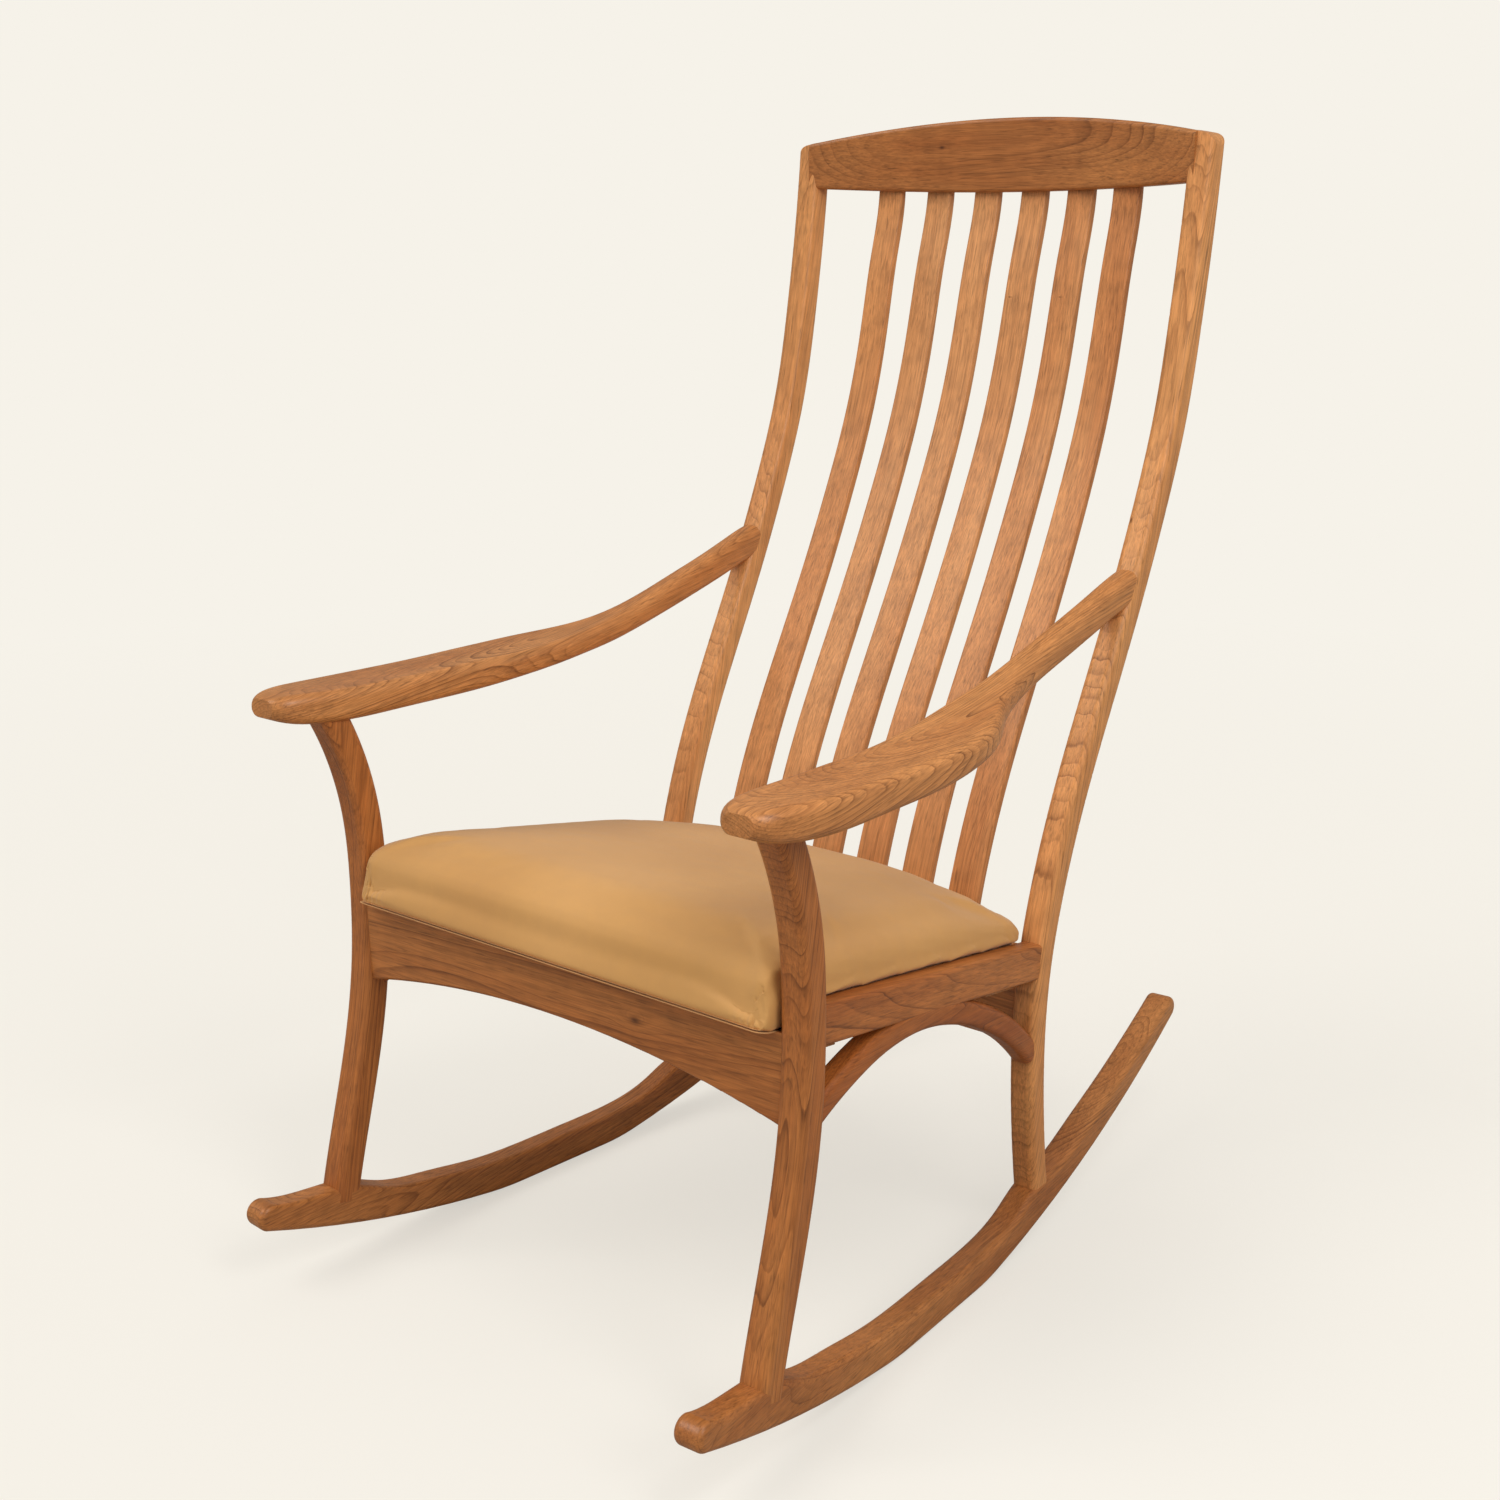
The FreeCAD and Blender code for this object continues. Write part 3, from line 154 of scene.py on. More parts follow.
# %% Rings about the pith
SLOW_WAVES, QUICK_WAVES = (9, 9, 2.2), (70, 70, 11)
QUICK_BEND = 0.0022                 # metres; the slow noise bends each board by a depth of its own
NOISE_MIDDLE = (0.5, 0.5, 0.5)
EYE_TIGHTNESS = 9.0                 # three squared, as a knot's dark eye is a third as wide as its bump


def bent_place(g, at, bend, seed):
    """The place in the log, moved out and across by two noises whose middle is nought."""
    slow = g.vector("SUBTRACT", g.noise(at, SLOW_WAVES, seed, 1.0, colour=True), NOISE_MIDDLE)
    quick = g.vector("SUBTRACT", g.noise(at, QUICK_WAVES, seed + 1, 3.0, colour=True), NOISE_MIDDLE)
    bent = g.vector("MULTIPLY_ADD", slow, (bend, bend, 0.0), at)
    return g.vector("MULTIPLY_ADD", quick, (QUICK_BEND, QUICK_BEND, 0.0), bent)


def fall_from(g, at, spot, sizes):
    """Minus the square of the distance from a spot, with each direction measured in a size of its own."""
    away = g.vector("MULTIPLY", g.vector("SUBTRACT", at, tuple(spot)), tuple(1 / s for s in sizes))
    return g.math("MULTIPLY", g.vector("DOT_PRODUCT", away, away), -1.0)


def ring_radius(g, at, bent, swells, knots):
    """How far from the pith a point grew, and how much of it lies in a knot's dark eye.

    The radius is the bent place's distance from the pith, plus the height of each swell and knot times e to
    the power of the fall from its spot. The eye is e to the power of nine falls.
    """
    radius = g.vector("LENGTH", g.vector("MULTIPLY", bent, (1.0, 1.0, 0.0)))
    eye = 0.0
    for spot, sizes, height in swells:
        radius = g.math("MULTIPLY_ADD", g.math("EXPONENT", fall_from(g, at, spot, sizes)), height, radius)
    for spot, sizes, height in knots:
        fall = fall_from(g, at, spot, sizes)
        radius = g.math("MULTIPLY_ADD", g.math("EXPONENT", fall), height, radius)
        eye = g.math("ADD", eye, g.math("EXPONENT", g.math("MULTIPLY", fall, EYE_TIGHTNESS)))
    return radius, eye


# %% [markdown]
# Each year's growth ends in a dark line of late wood. What is left over when the radius is divided by the
# width of a year says how far the year has gone, and a ramp turns that into a line with one soft and one
# sharp side. Years differ in width and depth, and a line fades in patches.

# %% Late wood
YEAR_TO_LINE = ((0.0, 0.0), (0.45, 0.12), (0.78, 0.45), (0.92, 1.0), (0.97, 0.7), (1.0, 0.0))
YEAR_SHIFT = 2.6                    # years by which noise moves a line


def late_wood(g, radius, patch, spacing, contrast, seed):
    """How much of the line's colour shows: the year's ramp, times its depth there and the contrast."""
    rings = g.node("ShaderNodeCombineXYZ", {"X": radius}).outputs[0]
    uneven = g.noise(rings, (110, 1, 1), seed, 2.0)
    share = g.math("FRACT", g.math("MULTIPLY_ADD", uneven, YEAR_SHIFT, g.math("DIVIDE", radius, spacing)))
    year = g.noise(rings, (260, 1, 1), seed + 6, 0.0)
    depth = g.math("MULTIPLY", g.spread(year, 0.35, 0.62, 0.3, 1.0), g.spread(patch, 0.3, 0.7, 0.35, 1.0))
    return g.math("MULTIPLY", g.ramp(share, YEAR_TO_LINE), g.math("MULTIPLY", depth, contrast))


# %% [markdown]
# Close up, wood is made of long cells. Four layers of noise stand for them, each stretched along the grain
# and multiplied into the tone: broad streaks, fine fibres, dark pores, and the gleam where the grain rises
# and dips.

# %% Streaks, fibres, pores and gleam
# each layer: features in a metre, seed, detail, roughness, and the ramp from noise to a share of the tone
STREAKS = ((330, 330, 5), 7, 2.0, 0.7, ((0.3, 0.78), (0.5, 0.97), (0.72, 1.12)))
FIBRES = ((900, 900, 20), 0, 2.0, 0.6, ((0.3, 0.78), (0.5, 0.97), (0.7, 1.08)))
PORES = ((600, 600, 36), 4, 1.0, 0.5, ((0.61, 1.0), (0.72, 0.7)))
GLEAM = ((40, 40, 46), 5, 2.0, 0.5, ((0.33, 0.78), (0.5, 1.0), (0.68, 1.14)))


def layered(g, at, tone, layer, seed, share=1.0):
    """The tone times the layer's ramp, and the layer's noise."""
    stretch, own_seed, detail, roughness, stops = layer
    noise = g.noise(at, stretch, seed + own_seed, detail, roughness)
    return g.blend(share, tone, g.ramp(noise, stops), "MULTIPLY"), noise


# %% [markdown]
# The timber itself puts these together: a slow drift between two tones, the lines of late wood, the four
# layers, and a thin coat of oil over a surface that the fibres make a little rough.

# %% A timber material
TIMBER = {"early": paint(222, 149, 84), "late": paint(194, 119, 61), "line": paint(122, 68, 29)}
SLAT_TIMBER = {"early": paint(226, 155, 94), "late": paint(204, 131, 74), "line": paint(154, 95, 50)}
KNOT_TONE = paint(70, 34, 16)
KNOT_SHARE = 0.85


def deepened(colour, shade, dim):
    """Each channel to the power of the shade, times dim. Above one, the shade is deeper and redder."""
    return tuple(dim * v ** shade for v in colour[:3]) + (1.0,)


def placed(bumps, turn, shift):
    """Swells or knots with their centres moved from the chair's axes into the log's."""
    return [(turn @ Vector(centre) + shift, sizes, height) for centre, sizes, height in bumps]


def timber(name, middle, grain, face, pith, spacing=0.0030, lean=1.0, bend=0.012, seed=0.0, tones=TIMBER,
           contrast=0.8, swells=(), knots=(), shade=1.0, dim=1.0, cloud=0.35):
    """Wood whose rings are centred on a pith that lies behind the middle of the piece, by two distances.

    Spacing is the width of a year and bend the depth of the slow waves, in metres, and lean is in degrees. A
    swell or a knot is a centre, a size along each of the log's axes and a height. Cloud is the gleam's share.
    """
    g = Graph(name)
    turn = log_frame(grain, face, lean)
    shift = Vector((pith[0], pith[1], 0.0)) - turn @ Vector(middle)
    mapping = {"Vector": g.place, "Rotation": tuple(turn.to_euler()), "Location": tuple(shift)}
    at = g.node("ShaderNodeMapping", mapping).outputs["Vector"]
    bent = bent_place(g, at, bend, seed)
    radius, eye = ring_radius(g, at, bent, placed(swells, turn, shift), placed(knots, turn, shift))
    patch = g.noise(at, (20, 20, 5), seed + 2, 2.0)
    line = late_wood(g, radius, patch, spacing, contrast, seed)
    drift = g.spread(g.noise(at, (14, 14, 1.6), seed + 3, 4.0, 0.6), 0.32, 0.66, 0.0, 1.0)
    colours = {key: deepened(colour, shade, dim) for key, colour in tones.items()}
    tone = g.blend(line, g.blend(drift, colours["early"], colours["late"]), colours["line"])
    tone, streak = layered(g, at, tone, STREAKS, seed)
    tone, fibre = layered(g, at, tone, FIBRES, seed)
    tone, _ = layered(g, at, tone, PORES, seed)
    tone, _ = layered(g, at, tone, GLEAM, seed, cloud)
    if knots:
        tone = g.blend(g.math("MULTIPLY", eye, KNOT_SHARE, clamp=True), tone, KNOT_TONE)
    relief = g.math("MULTIPLY_ADD", line, -0.5, g.math("ADD", fibre, g.math("MULTIPLY", streak, 0.6)))
    bump = g.node("ShaderNodeBump", {"Height": relief, "Strength": 0.45, "Distance": 0.00035})
    rough = g.math("MULTIPLY_ADD", fibre, 0.16, g.spread(patch, 0.3, 0.7, 0.28, 0.40))
    shader = g.node("ShaderNodeBsdfPrincipled", {
        "Base Color": tone, "Roughness": rough, "Normal": bump.outputs["Normal"], "Coat Weight": 0.10,
        "Coat Roughness": 0.22, "Specular IOR Level": 0.35})
    return g.finish(shader.outputs["BSDF"])


# %% [markdown]
# ## Timber for each piece
#
# The grain runs along each piece as a joiner would lay it out: straight up the legs, posts and slats, along
# the rockers and arms, and across the rails. Left and right pieces come from different boards, so no two
# are alike. The legs, seat rails, side rails, rockers and arch braces are deeper and dimmer, partly in their
# own wood and partly as painted shade for the lesser light low down and under the seat. Small knots sit
# where such a chair shows them: on the top rail, the front rail, one post and two slats.

# %% Choosing the boards
UP_POST = (0.0, 0.235, 1.0)
UP_LEG = (0.0, 0.17, 1.0)
UP_SLAT = (0.0, 0.33, 0.94)
ALONG_ROCKER = (0.0, 1.0, 0.10)
ALONG_ARM = (0.0, 1.0, 0.13)
LEFT_OUT, FRONT_OUT, TOP_OUT = (1.0, 0.0, 0.0), (0.0, -1.0, 0.0), (0.0, 0.0, 1.0)

CREST_SWELL = ((0.03, 0.39, 1.035), (0.10, 0.060, 0.15), 0.034)
CREST_KNOT = ((-0.082, 0.400, 1.098), (0.006, 0.006, 0.010), 0.005)
FRONT_RAIL_KNOT = ((0.0975, -0.304, 0.341), (0.011, 0.010, 0.020), 0.010)
POST_KNOT = ((0.235, 0.288, 0.728), (0.005, 0.005, 0.010), 0.004)
SLAT_KNOTS = {2: ((0.0860, 0.3823, 0.9414), (0.008, 0.0060, 0.0013), 0.002),
              3: ((0.0217, 0.3855, 0.9401), (0.008, 0.0075, 0.0015), 0.002)}

# A shade above one and a dim below one on the legs, seat rails, side rails, rockers and arch braces are
# partly the boards' own tone, partly painted shade for the lesser light near the floor and under the seat.
boards = {
    "crest_rail": dict(
        grain=(1, 0.03, 0), face=FRONT_OUT, pith=(0.060, 0.015), spacing=0.0046, lean=0.4, bend=0.020, seed=2,
        contrast=0.7, swells=[CREST_SWELL], knots=[CREST_KNOT], shade=1.02, dim=0.74),
    "front_seat_rail": dict(
        grain=(1, 0, 0.03), face=FRONT_OUT, pith=(0.060, -0.050), spacing=0.0052, lean=1.6, bend=0.034,
        seed=5, contrast=0.9, knots=[FRONT_RAIL_KNOT], shade=1.10, dim=0.80),
    "rear_seat_rail": dict(grain=(1, 0, 0), face=FRONT_OUT, pith=(0.060, 0.010), seed=7, dim=0.85),
    "left_front_leg": dict(
        grain=UP_LEG, face=FRONT_OUT, pith=(0.026, 0.003), lean=0.0, bend=0.006, seed=11, contrast=0.9,
        shade=1.10, dim=0.82),
    "right_front_leg": dict(grain=UP_LEG, face=LEFT_OUT, pith=(0.060, 0.030), seed=12, shade=1.12, dim=0.84),
    "left_back_post": dict(
        grain=UP_POST, face=FRONT_OUT, pith=(0.038, 0.002), spacing=0.0034, lean=0.0, bend=0.008, seed=14,
        knots=[POST_KNOT], shade=0.88, dim=1.06),
    "right_back_post": dict(
        grain=UP_POST, face=FRONT_OUT, pith=(0.036, -0.004), spacing=0.0034, lean=0.0, bend=0.008, seed=15,
        shade=0.86, dim=1.10),
    "left_rocker": dict(
        grain=ALONG_ROCKER, face=LEFT_OUT, pith=(0.034, 0.010), lean=1.0, bend=0.024, seed=17, shade=1.02,
        dim=0.80),
    "right_rocker": dict(
        grain=ALONG_ROCKER, face=LEFT_OUT, pith=(0.044, -0.012), lean=-1.2, bend=0.024, seed=18, shade=1.06,
        dim=0.78),
    "left_arm": dict(
        grain=ALONG_ARM, face=TOP_OUT, pith=(0.036, 0.006), spacing=0.0026, lean=3.0, bend=0.016, seed=20,
        contrast=1.0, shade=0.92, dim=0.94),
    "right_arm": dict(
        grain=ALONG_ARM, face=TOP_OUT, pith=(0.040, -0.010), spacing=0.0026, lean=3.0, bend=0.016, seed=21,
        contrast=1.0, shade=0.92, dim=0.94),
    "left_side_rail": dict(
        grain=(-0.08, 1, -0.16), face=LEFT_OUT, pith=(0.040, 0.020), spacing=0.0046, lean=5.0, bend=0.030,
        seed=23, contrast=0.9, shade=1.12, dim=0.84),
    "right_side_rail": dict(
        grain=(0.08, 1, -0.16), face=LEFT_OUT, pith=(0.040, -0.010), lean=-4.0, seed=24, shade=1.10,
        dim=0.84),
    "left_arch_brace": dict(
        grain=(-0.08, 1, -0.03), face=LEFT_OUT, pith=(0.034, 0.030), lean=2.5, seed=26, shade=1.30, dim=0.74),
    "right_arch_brace": dict(
        grain=(0.08, 1, -0.03), face=LEFT_OUT, pith=(0.034, 0.026), lean=-2.5, seed=27, shade=1.30, dim=0.76),
}


def slat_board(number):
    """One slat's board. What is left over when the number is multiplied and divided shuffles the boards."""
    return dict(
        grain=UP_SLAT, face=FRONT_OUT, pith=(0.05 + 0.011 * (number * 5 % 6), 0.06 + 0.004 * number),
        spacing=0.0026, lean=0.8 + 0.25 * (number * 3 % 5), seed=30 + number, tones=SLAT_TIMBER, contrast=0.6,
        knots=[SLAT_KNOTS[number]] if number in SLAT_KNOTS else (), shade=0.90 + 0.02 * (number * 4 % 5),
        dim=0.96, cloud=0.5)


for number in range(1, 7):
    boards[f"back_slat_{number}"] = slat_board(number)


# %% [markdown]
# A solid may come with a material from its maker, which the timber replaces.

# %% Giving the pieces their timber
def wear(material, *names):
    """Gives the named solids this material in place of what they came with."""
    for name in names:
        mesh = nodes[name].data
        mesh.materials.clear()
        mesh.materials.append(material)


def middle_of(name):
    low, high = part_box(name)
    return (low + high) / 2


for name, board in boards.items():
    wear(timber(name + "_timber", middle_of(name), **board), name)
print(len(boards), "pieces with timber of their own")


# %% [markdown]
# ## Hidden parts
#
# Dowels, corner blocks, the plywood board and the screws hold the chair together out of sight. They still
# get real finishes, because someone may turn the chair over.

# %% Materials of the hidden parts
PALE_TIMBER = {"early": paint(222, 188, 142), "late": paint(205, 168, 122), "line": paint(176, 136, 92)}
BLOCK_TIMBER = {"early": paint(206, 150, 100), "late": paint(190, 132, 84), "line": paint(152, 98, 58)}

dowels = sorted(name for name in nodes if "dowel" in name)
blocks = sorted(name for name in nodes if name.endswith("corner_block"))
for n, name in enumerate(dowels):
    dowel = dict(grain=(0.1, 1, 0.1), face=TOP_OUT, pith=(0.05, 0.02), spacing=0.002, bend=0.004, seed=60 + n,
                 tones=PALE_TIMBER, contrast=0.4)
    wear(timber(name + "_timber", middle_of(name), **dowel), name)
for n, name in enumerate(blocks):
    side = 1 if name.startswith("left") else -1
    block = dict(grain=(side, 1, 0), face=TOP_OUT, pith=(0.03, 0.01), spacing=0.004, lean=2.0, bend=0.008,
                 seed=80 + n, tones=BLOCK_TIMBER, contrast=0.6)
    wear(timber(name + "_timber", middle_of(name), **block), name)


def plywood(name):
    """Thin veneers: a pale face with wide figure, and striped edges, as every other sheet is turned."""
    g = Graph(name)
    figure = g.noise(g.place, (26, 3, 26), 4.0, 3.0)
    fibre = g.noise(g.place, (600, 16, 600), 5.0, 2.0)
    sheets = g.node("ShaderNodeTexWave", {"Vector": g.place, "Scale": 96.0, "Distortion": 0.6},
                    bands_direction="Z")
    face = g.ramp(figure, [(0.3, paint(196, 160, 113)), (0.55, paint(214, 180, 134)),
                           (0.7, paint(205, 170, 122))])
    edge = g.ramp(sheets.outputs["Fac"], [(0.3, paint(150, 112, 70)), (0.6, paint(222, 190, 146))])
    tone = g.blend(1.0, g.blend(0.25, face, edge), g.ramp(fibre, [(0.3, 0.85), (0.6, 1.0)]), "MULTIPLY")
    bump = g.node("ShaderNodeBump", {"Height": fibre, "Strength": 0.3, "Distance": 0.0002})
    shader = g.node("ShaderNodeBsdfPrincipled", {
        "Base Color": tone, "Roughness": g.spread(fibre, 0.3, 0.7, 0.55, 0.75),
        "Normal": bump.outputs["Normal"]})
    return g.finish(shader.outputs["BSDF"])


def plated_steel(name):
    """Zinc on steel: a grey metal with crystal patches and soft clouds."""
    g = Graph(name)
    crystals = g.node("ShaderNodeTexVoronoi", {"Vector": g.place, "Scale": 900.0}).outputs["Color"]
    cloud = g.noise(g.place, (300, 300, 300), 2.0, 3.0)
    grey = g.ramp(cloud, [(0.3, paint(168, 168, 164)), (0.7, paint(196, 197, 194))])
    bump = g.node("ShaderNodeBump", {"Height": cloud, "Strength": 0.2, "Distance": 0.0001})
    shader = g.node("ShaderNodeBsdfPrincipled", {
        "Base Color": g.blend(0.25, grey, crystals, "SOFT_LIGHT"), "Metallic": 1.0,
        "Roughness": g.spread(cloud, 0.3, 0.7, 0.28, 0.45), "Normal": bump.outputs["Normal"]})
    return g.finish(shader.outputs["BSDF"])


wear(plywood("board_plywood"), "seat_board")
wear(plated_steel("screw_steel"), "seat_screws", "corner_block_screws")
print(len(dowels), "sets of dowels and", len(blocks), "corner blocks")

# %% [markdown]
# ## The padded seat
#
# The seat slopes down towards the back, so its own axes help: x to the sitter's left, y back along the seat
# and z square to it, from the middle of the front edge of the board's underside. All the sizes below are in
# metres in those axes.

# %% The seat's own axes
SEAT_FRONT = (0.0, -0.323, 0.37685)
SEAT_SLOPE = math.radians(-9.5)
SEAT_PLACE = Matrix.Translation(SEAT_FRONT) @ Matrix.Rotation(SEAT_SLOPE, 4, "X")
RAIL_LEVEL = 0.02416                # top of the rails
BOARD_TOP = 0.0170
LEG_FACE_X = 0.2592                 # the legs' inner faces, with the fabric's clearance
LEG_BACK_Y = 0.0495


def corners_of(mesh):
    """All corners of a mesh as rows."""
    flat = np.empty(len(mesh.vertices) * 3, np.float32)
    mesh.vertices.foreach_get("co", flat)
    return flat.reshape(-1, 3).astype(float)


def set_corners(mesh, points):
    mesh.vertices.foreach_set("co", np.asarray(points, np.float32).ravel())
    mesh.update()


def moved_by(matrix, points):
    """Each point turned, then shifted, by the matrix."""
    turn = np.array(matrix)[:3, :3]
    return points @ turn.T + np.array(matrix)[:3, 3]


def to_seat(points):
    return moved_by(SEAT_PLACE.inverted(), points)


def from_seat(points):
    return moved_by(SEAT_PLACE, points)


def settled(thing):
    """The mesh of an object as its modifiers leave it."""
    graph = bpy.context.evaluated_depsgraph_get()
    return bpy.data.meshes.new_from_object(thing.evaluated_get(graph))


def smooth_step(value, low, high):
    """Nought below low and one above high, with three times the square less twice the cube between."""
    share = np.clip((value - low) / (high - low), 0.0, 1.0)
    return share * share * (3 - 2 * share)


def bell(value, middle, width):
    """E to the power of minus the square of the distance from the middle, in widths."""
    return np.exp(-((value - middle) / width) ** 2)


# %% [markdown]
# The cushion starts from the core, the board and the cover together. Remeshing them into squares of five
# millimetres gives one even skin round all three, with soft corners.

# %% Remeshing the core
SKIN_SQUARE = 0.005


def joined(name, *parts):
    """One mesh object that holds copies of the named solids."""
    work = bmesh.new()
    for part in parts:
        work.from_mesh(nodes[part].data)
    mesh = bpy.data.meshes.new(name)
    work.to_mesh(mesh)
    work.free()
    thing = bpy.data.objects.new(name, mesh)
    bpy.context.scene.collection.objects.link(thing)
    return thing


cushion = joined("seat_cushion", "seat_foam", "seat_board", "seat_cover")
remesh = cushion.modifiers.new("even squares", "REMESH")
remesh.mode = "VOXEL"
remesh.voxel_size = SKIN_SQUARE
even = settled(cushion)
cushion.modifiers.clear()
cushion.data = even
start = corners_of(even)
print("cushion:", len(start), "points")


# %% [markdown]
# The cloth is a closed skin with air pressure inside. Its underside, and all of it that sits between the
# rails, is pinned. A point travels no further than a few millimetres, so the skin stays near the core.

# %% Blowing up the cushion
SWELL_LIMIT = 0.0055
PINNED_UNDERSIDE_Z = 0.004
PINNED_FRONT_Y = 0.014              # in front of this the foot is free to swell
PINNED_OVER_RAIL = 0.003


def blow_up(thing, frames=20, pressure=4.0):
    """Runs the simulation and gives where the corners end."""
    pins = thing.vertex_groups.new(name="held")
    _, y, z = to_seat(corners_of(thing.data)).T
    between_rails = (z < RAIL_LEVEL + PINNED_OVER_RAIL) & (y > PINNED_FRONT_Y)
    for index in np.nonzero(between_rails | (z < PINNED_UNDERSIDE_Z))[0]:
        pins.add([int(index)], 1.0, "REPLACE")
    cloth = thing.modifiers.new("skin", "CLOTH")
    cloth.settings.vertex_group_mass = "held"
    cloth.settings.use_pressure = True
    cloth.settings.uniform_pressure_force = pressure
    cloth.settings.effector_weights.gravity = 0.0
    cloth.settings.tension_stiffness = 12.0
    cloth.settings.compression_stiffness = 12.0
    cloth.settings.bending_stiffness = 0.6
    cloth.settings.mass = 0.25
    cloth.point_cache.frame_end = frames
    for number in range(1, frames + 1):
        bpy.context.scene.frame_set(number)
    final = corners_of(settled(thing))
    thing.modifiers.clear()
    thing.vertex_groups.clear()
    bpy.context.scene.frame_set(1)
    return final


swollen = blow_up(cushion)
travel = swollen - start
length = np.linalg.norm(travel, axis=1, keepdims=True)
travel *= np.minimum(1.0, SWELL_LIMIT / np.maximum(length, 1e-9))
print("furthest point moved", round(float(length.max()) * 1000, 1), "mm")

# %% [markdown]
# The squares are divided once more everywhere, and again at the two lower front corners, where the tucks
# are narrower than a square.

# %% A finer skin
FINE_REACH, FINE_Y, FINE_Z = 0.215, 0.008, 0.034


def finer(thing, levels=1):
    """Every square divided in four and smoothed, kept in the mesh."""
    step = thing.modifiers.new("finer", "SUBSURF")
    step.levels = step.render_levels = levels
    mesh = settled(thing)
    thing.modifiers.clear()
    thing.data = mesh


def finer_corners(mesh, cuts=2):
    """Divides the squares that lie out towards the legs, at the front and low down."""
    work = bmesh.new()
    work.from_mesh(mesh)
    points = to_seat(np.array([v.co for v in work.verts]))
    near = (np.abs(points[:, 0]) > FINE_REACH) & (points[:, 1] < FINE_Y) & (points[:, 2] < FINE_Z)
    edges = [e for e in work.edges if all(near[v.index] for v in e.verts)]
    bmesh.ops.subdivide_edges(work, edges=edges, cuts=cuts, use_grid_fill=True)
    work.to_mesh(mesh)
    work.free()
    return len(edges)


set_corners(cushion.data, start + travel)
finer(cushion)
print("edges divided at the corners:", finer_corners(cushion.data))

# %% [markdown]
# The fabric is pulled down over the front edge and folded under, so the front rounds in at its foot. It
# gathers at the two front corners in one short deep tuck and a few shallow ones, and draws back beside the
# legs. The pad thins towards its back corners and rises a little between them. Nothing may press into the
# legs.

# %% Tucks and creases
FRONT_HEIGHTS = (0.0, 0.003, 0.008, 0.016, 0.030)               # up the front wall
FRONT_LIMITS = (0.0048, 0.0026, 0.0006, -0.0012, -0.0050)       # how far forward it may come there
# each tuck: its place across the seat, its width and its depth
FOLDS = ((0.2430, 0.0014, 0.0046), (0.2370, 0.0024, 0.0016), (0.2300, 0.0026, 0.0011),
         (0.2225, 0.0030, 0.0008), (0.2500, 0.0022, 0.0014))
WALL_Y = 0.0048                     # the front wall lies in front of this
NEAR_WALL_Y = 0.012
HELD_Y = 0.0050                     # beside the board's edge, the wall comes back no further than this
CORNER_DRAW = 0.0040
BACK_THINNING, BACK_RISE = 0.009, 0.005


def fold_front(x, y, z):
    """How far back each point lies once the front wall is rounded in, tucked and drawn back.

    A tuck adds its depth times a bell curve across, inside a band near the foot. The corner adds its draw
    times the square of a smooth step towards the leg, and fades out higher up.
    """
    reach = np.abs(x)
    wall = y < WALL_Y
    limit = np.interp(z, FRONT_HEIGHTS, FRONT_LIMITS)
    y = np.where(y < NEAR_WALL_Y, np.maximum(y, limit), y)
    foot = smooth_step(z, 0.001, 0.007) * (1.0 - smooth_step(z, 0.012, RAIL_LEVEL + 0.006))
    for place, width, depth in FOLDS:
        y = y + depth * bell(reach, place, width) * wall * foot
    corner = smooth_step(reach, LEG_FACE_X - 0.026, LEG_FACE_X + 0.002) ** 2
    y = y + CORNER_DRAW * corner * wall * (1.0 - smooth_step(z, 0.055, 0.075))
    return np.where(wall & (z < BOARD_TOP), np.minimum(y, HELD_Y), y)


def thin_back(x, y, z):
    """How high each point lies once the top sinks at the back corners and rises between them."""
    reach = np.abs(x)
    top = smooth_step(z, RAIL_LEVEL + 0.004, RAIL_LEVEL + 0.040)
    rear = smooth_step(y, 0.28, 0.42)
    z = z - BACK_THINNING * top * rear * smooth_step(reach, 0.12, 0.20)
    return z + BACK_RISE * top * rear * (1.0 - smooth_step(reach, 0.06, 0.16))


def dress(seat_points):
    """Shapes the cushion in the seat's own axes, and holds it between the legs."""
    x, y, z = seat_points.T.copy()
    y = fold_front(x, y, z)
    z = thin_back(x, y, z)
    beside_leg = (y < LEG_BACK_Y) & (np.abs(x) > LEG_FACE_X)
    x = np.where(beside_leg, np.sign(x) * LEG_FACE_X, x)
    return np.stack([x, y, z], 1)


set_corners(cushion.data, from_seat(dress(to_seat(corners_of(cushion.data)))))
print("cushion now has", len(cushion.data.polygons), "faces")

# %% [markdown]
# The board shows from below, so the cushion is hollowed to sit over it like a lid over a box: points of its
# underside that lie below the board are lifted to just above the board's top.


# %% Room for the board
UNDERSIDE_Z = 0.007
FOLD_ROOM = 0.0010                  # the folded front edge keeps its place this far behind the board's edge
RAY_START_Z = -0.01


def make_room(thing, board, margin=0.0022, clearance=0.0008):
    """Lifts the underside wherever a line straight up, or one beside it by the margin, meets the board."""
    points = to_seat(corners_of(thing.data))
    board_points = to_seat(corners_of(board.data))
    top = board_points[:, 2].max() + clearance
    faces = [tuple(face.vertices) for face in board.data.polygons]
    shape = BVHTree.FromPolygons([Vector(p) for p in board_points], faces)
    offsets = [(0, 0), (margin, 0), (-margin, 0), (0, -margin)]
    edge = board_points[:, 1].min() + FOLD_ROOM
    below = np.nonzero((points[:, 2] < UNDERSIDE_Z) & (points[:, 1] > edge))[0]
    for index in below:
        x, y = points[index, :2]
        for across, along in offsets:
            under = Vector((x + across, y + along, RAY_START_Z))
            if shape.ray_cast(under, Vector((0, 0, 1)))[0] is not None:
                points[index, 2] = top
                break
    set_corners(thing.data, from_seat(points))
    return len(below)


print("underside:", make_room(cushion, nodes["seat_board"]), "points")
cushion.data.polygons.foreach_set("use_smooth", [True] * len(cushion.data.polygons))

# %% [markdown]
# Under the board the fabric turns in as a hem. That part is copied from the cover solid, of which only the
# lowest few millimetres are kept.

# %% The hem under the board
HEM_TOP_Z = 0.004

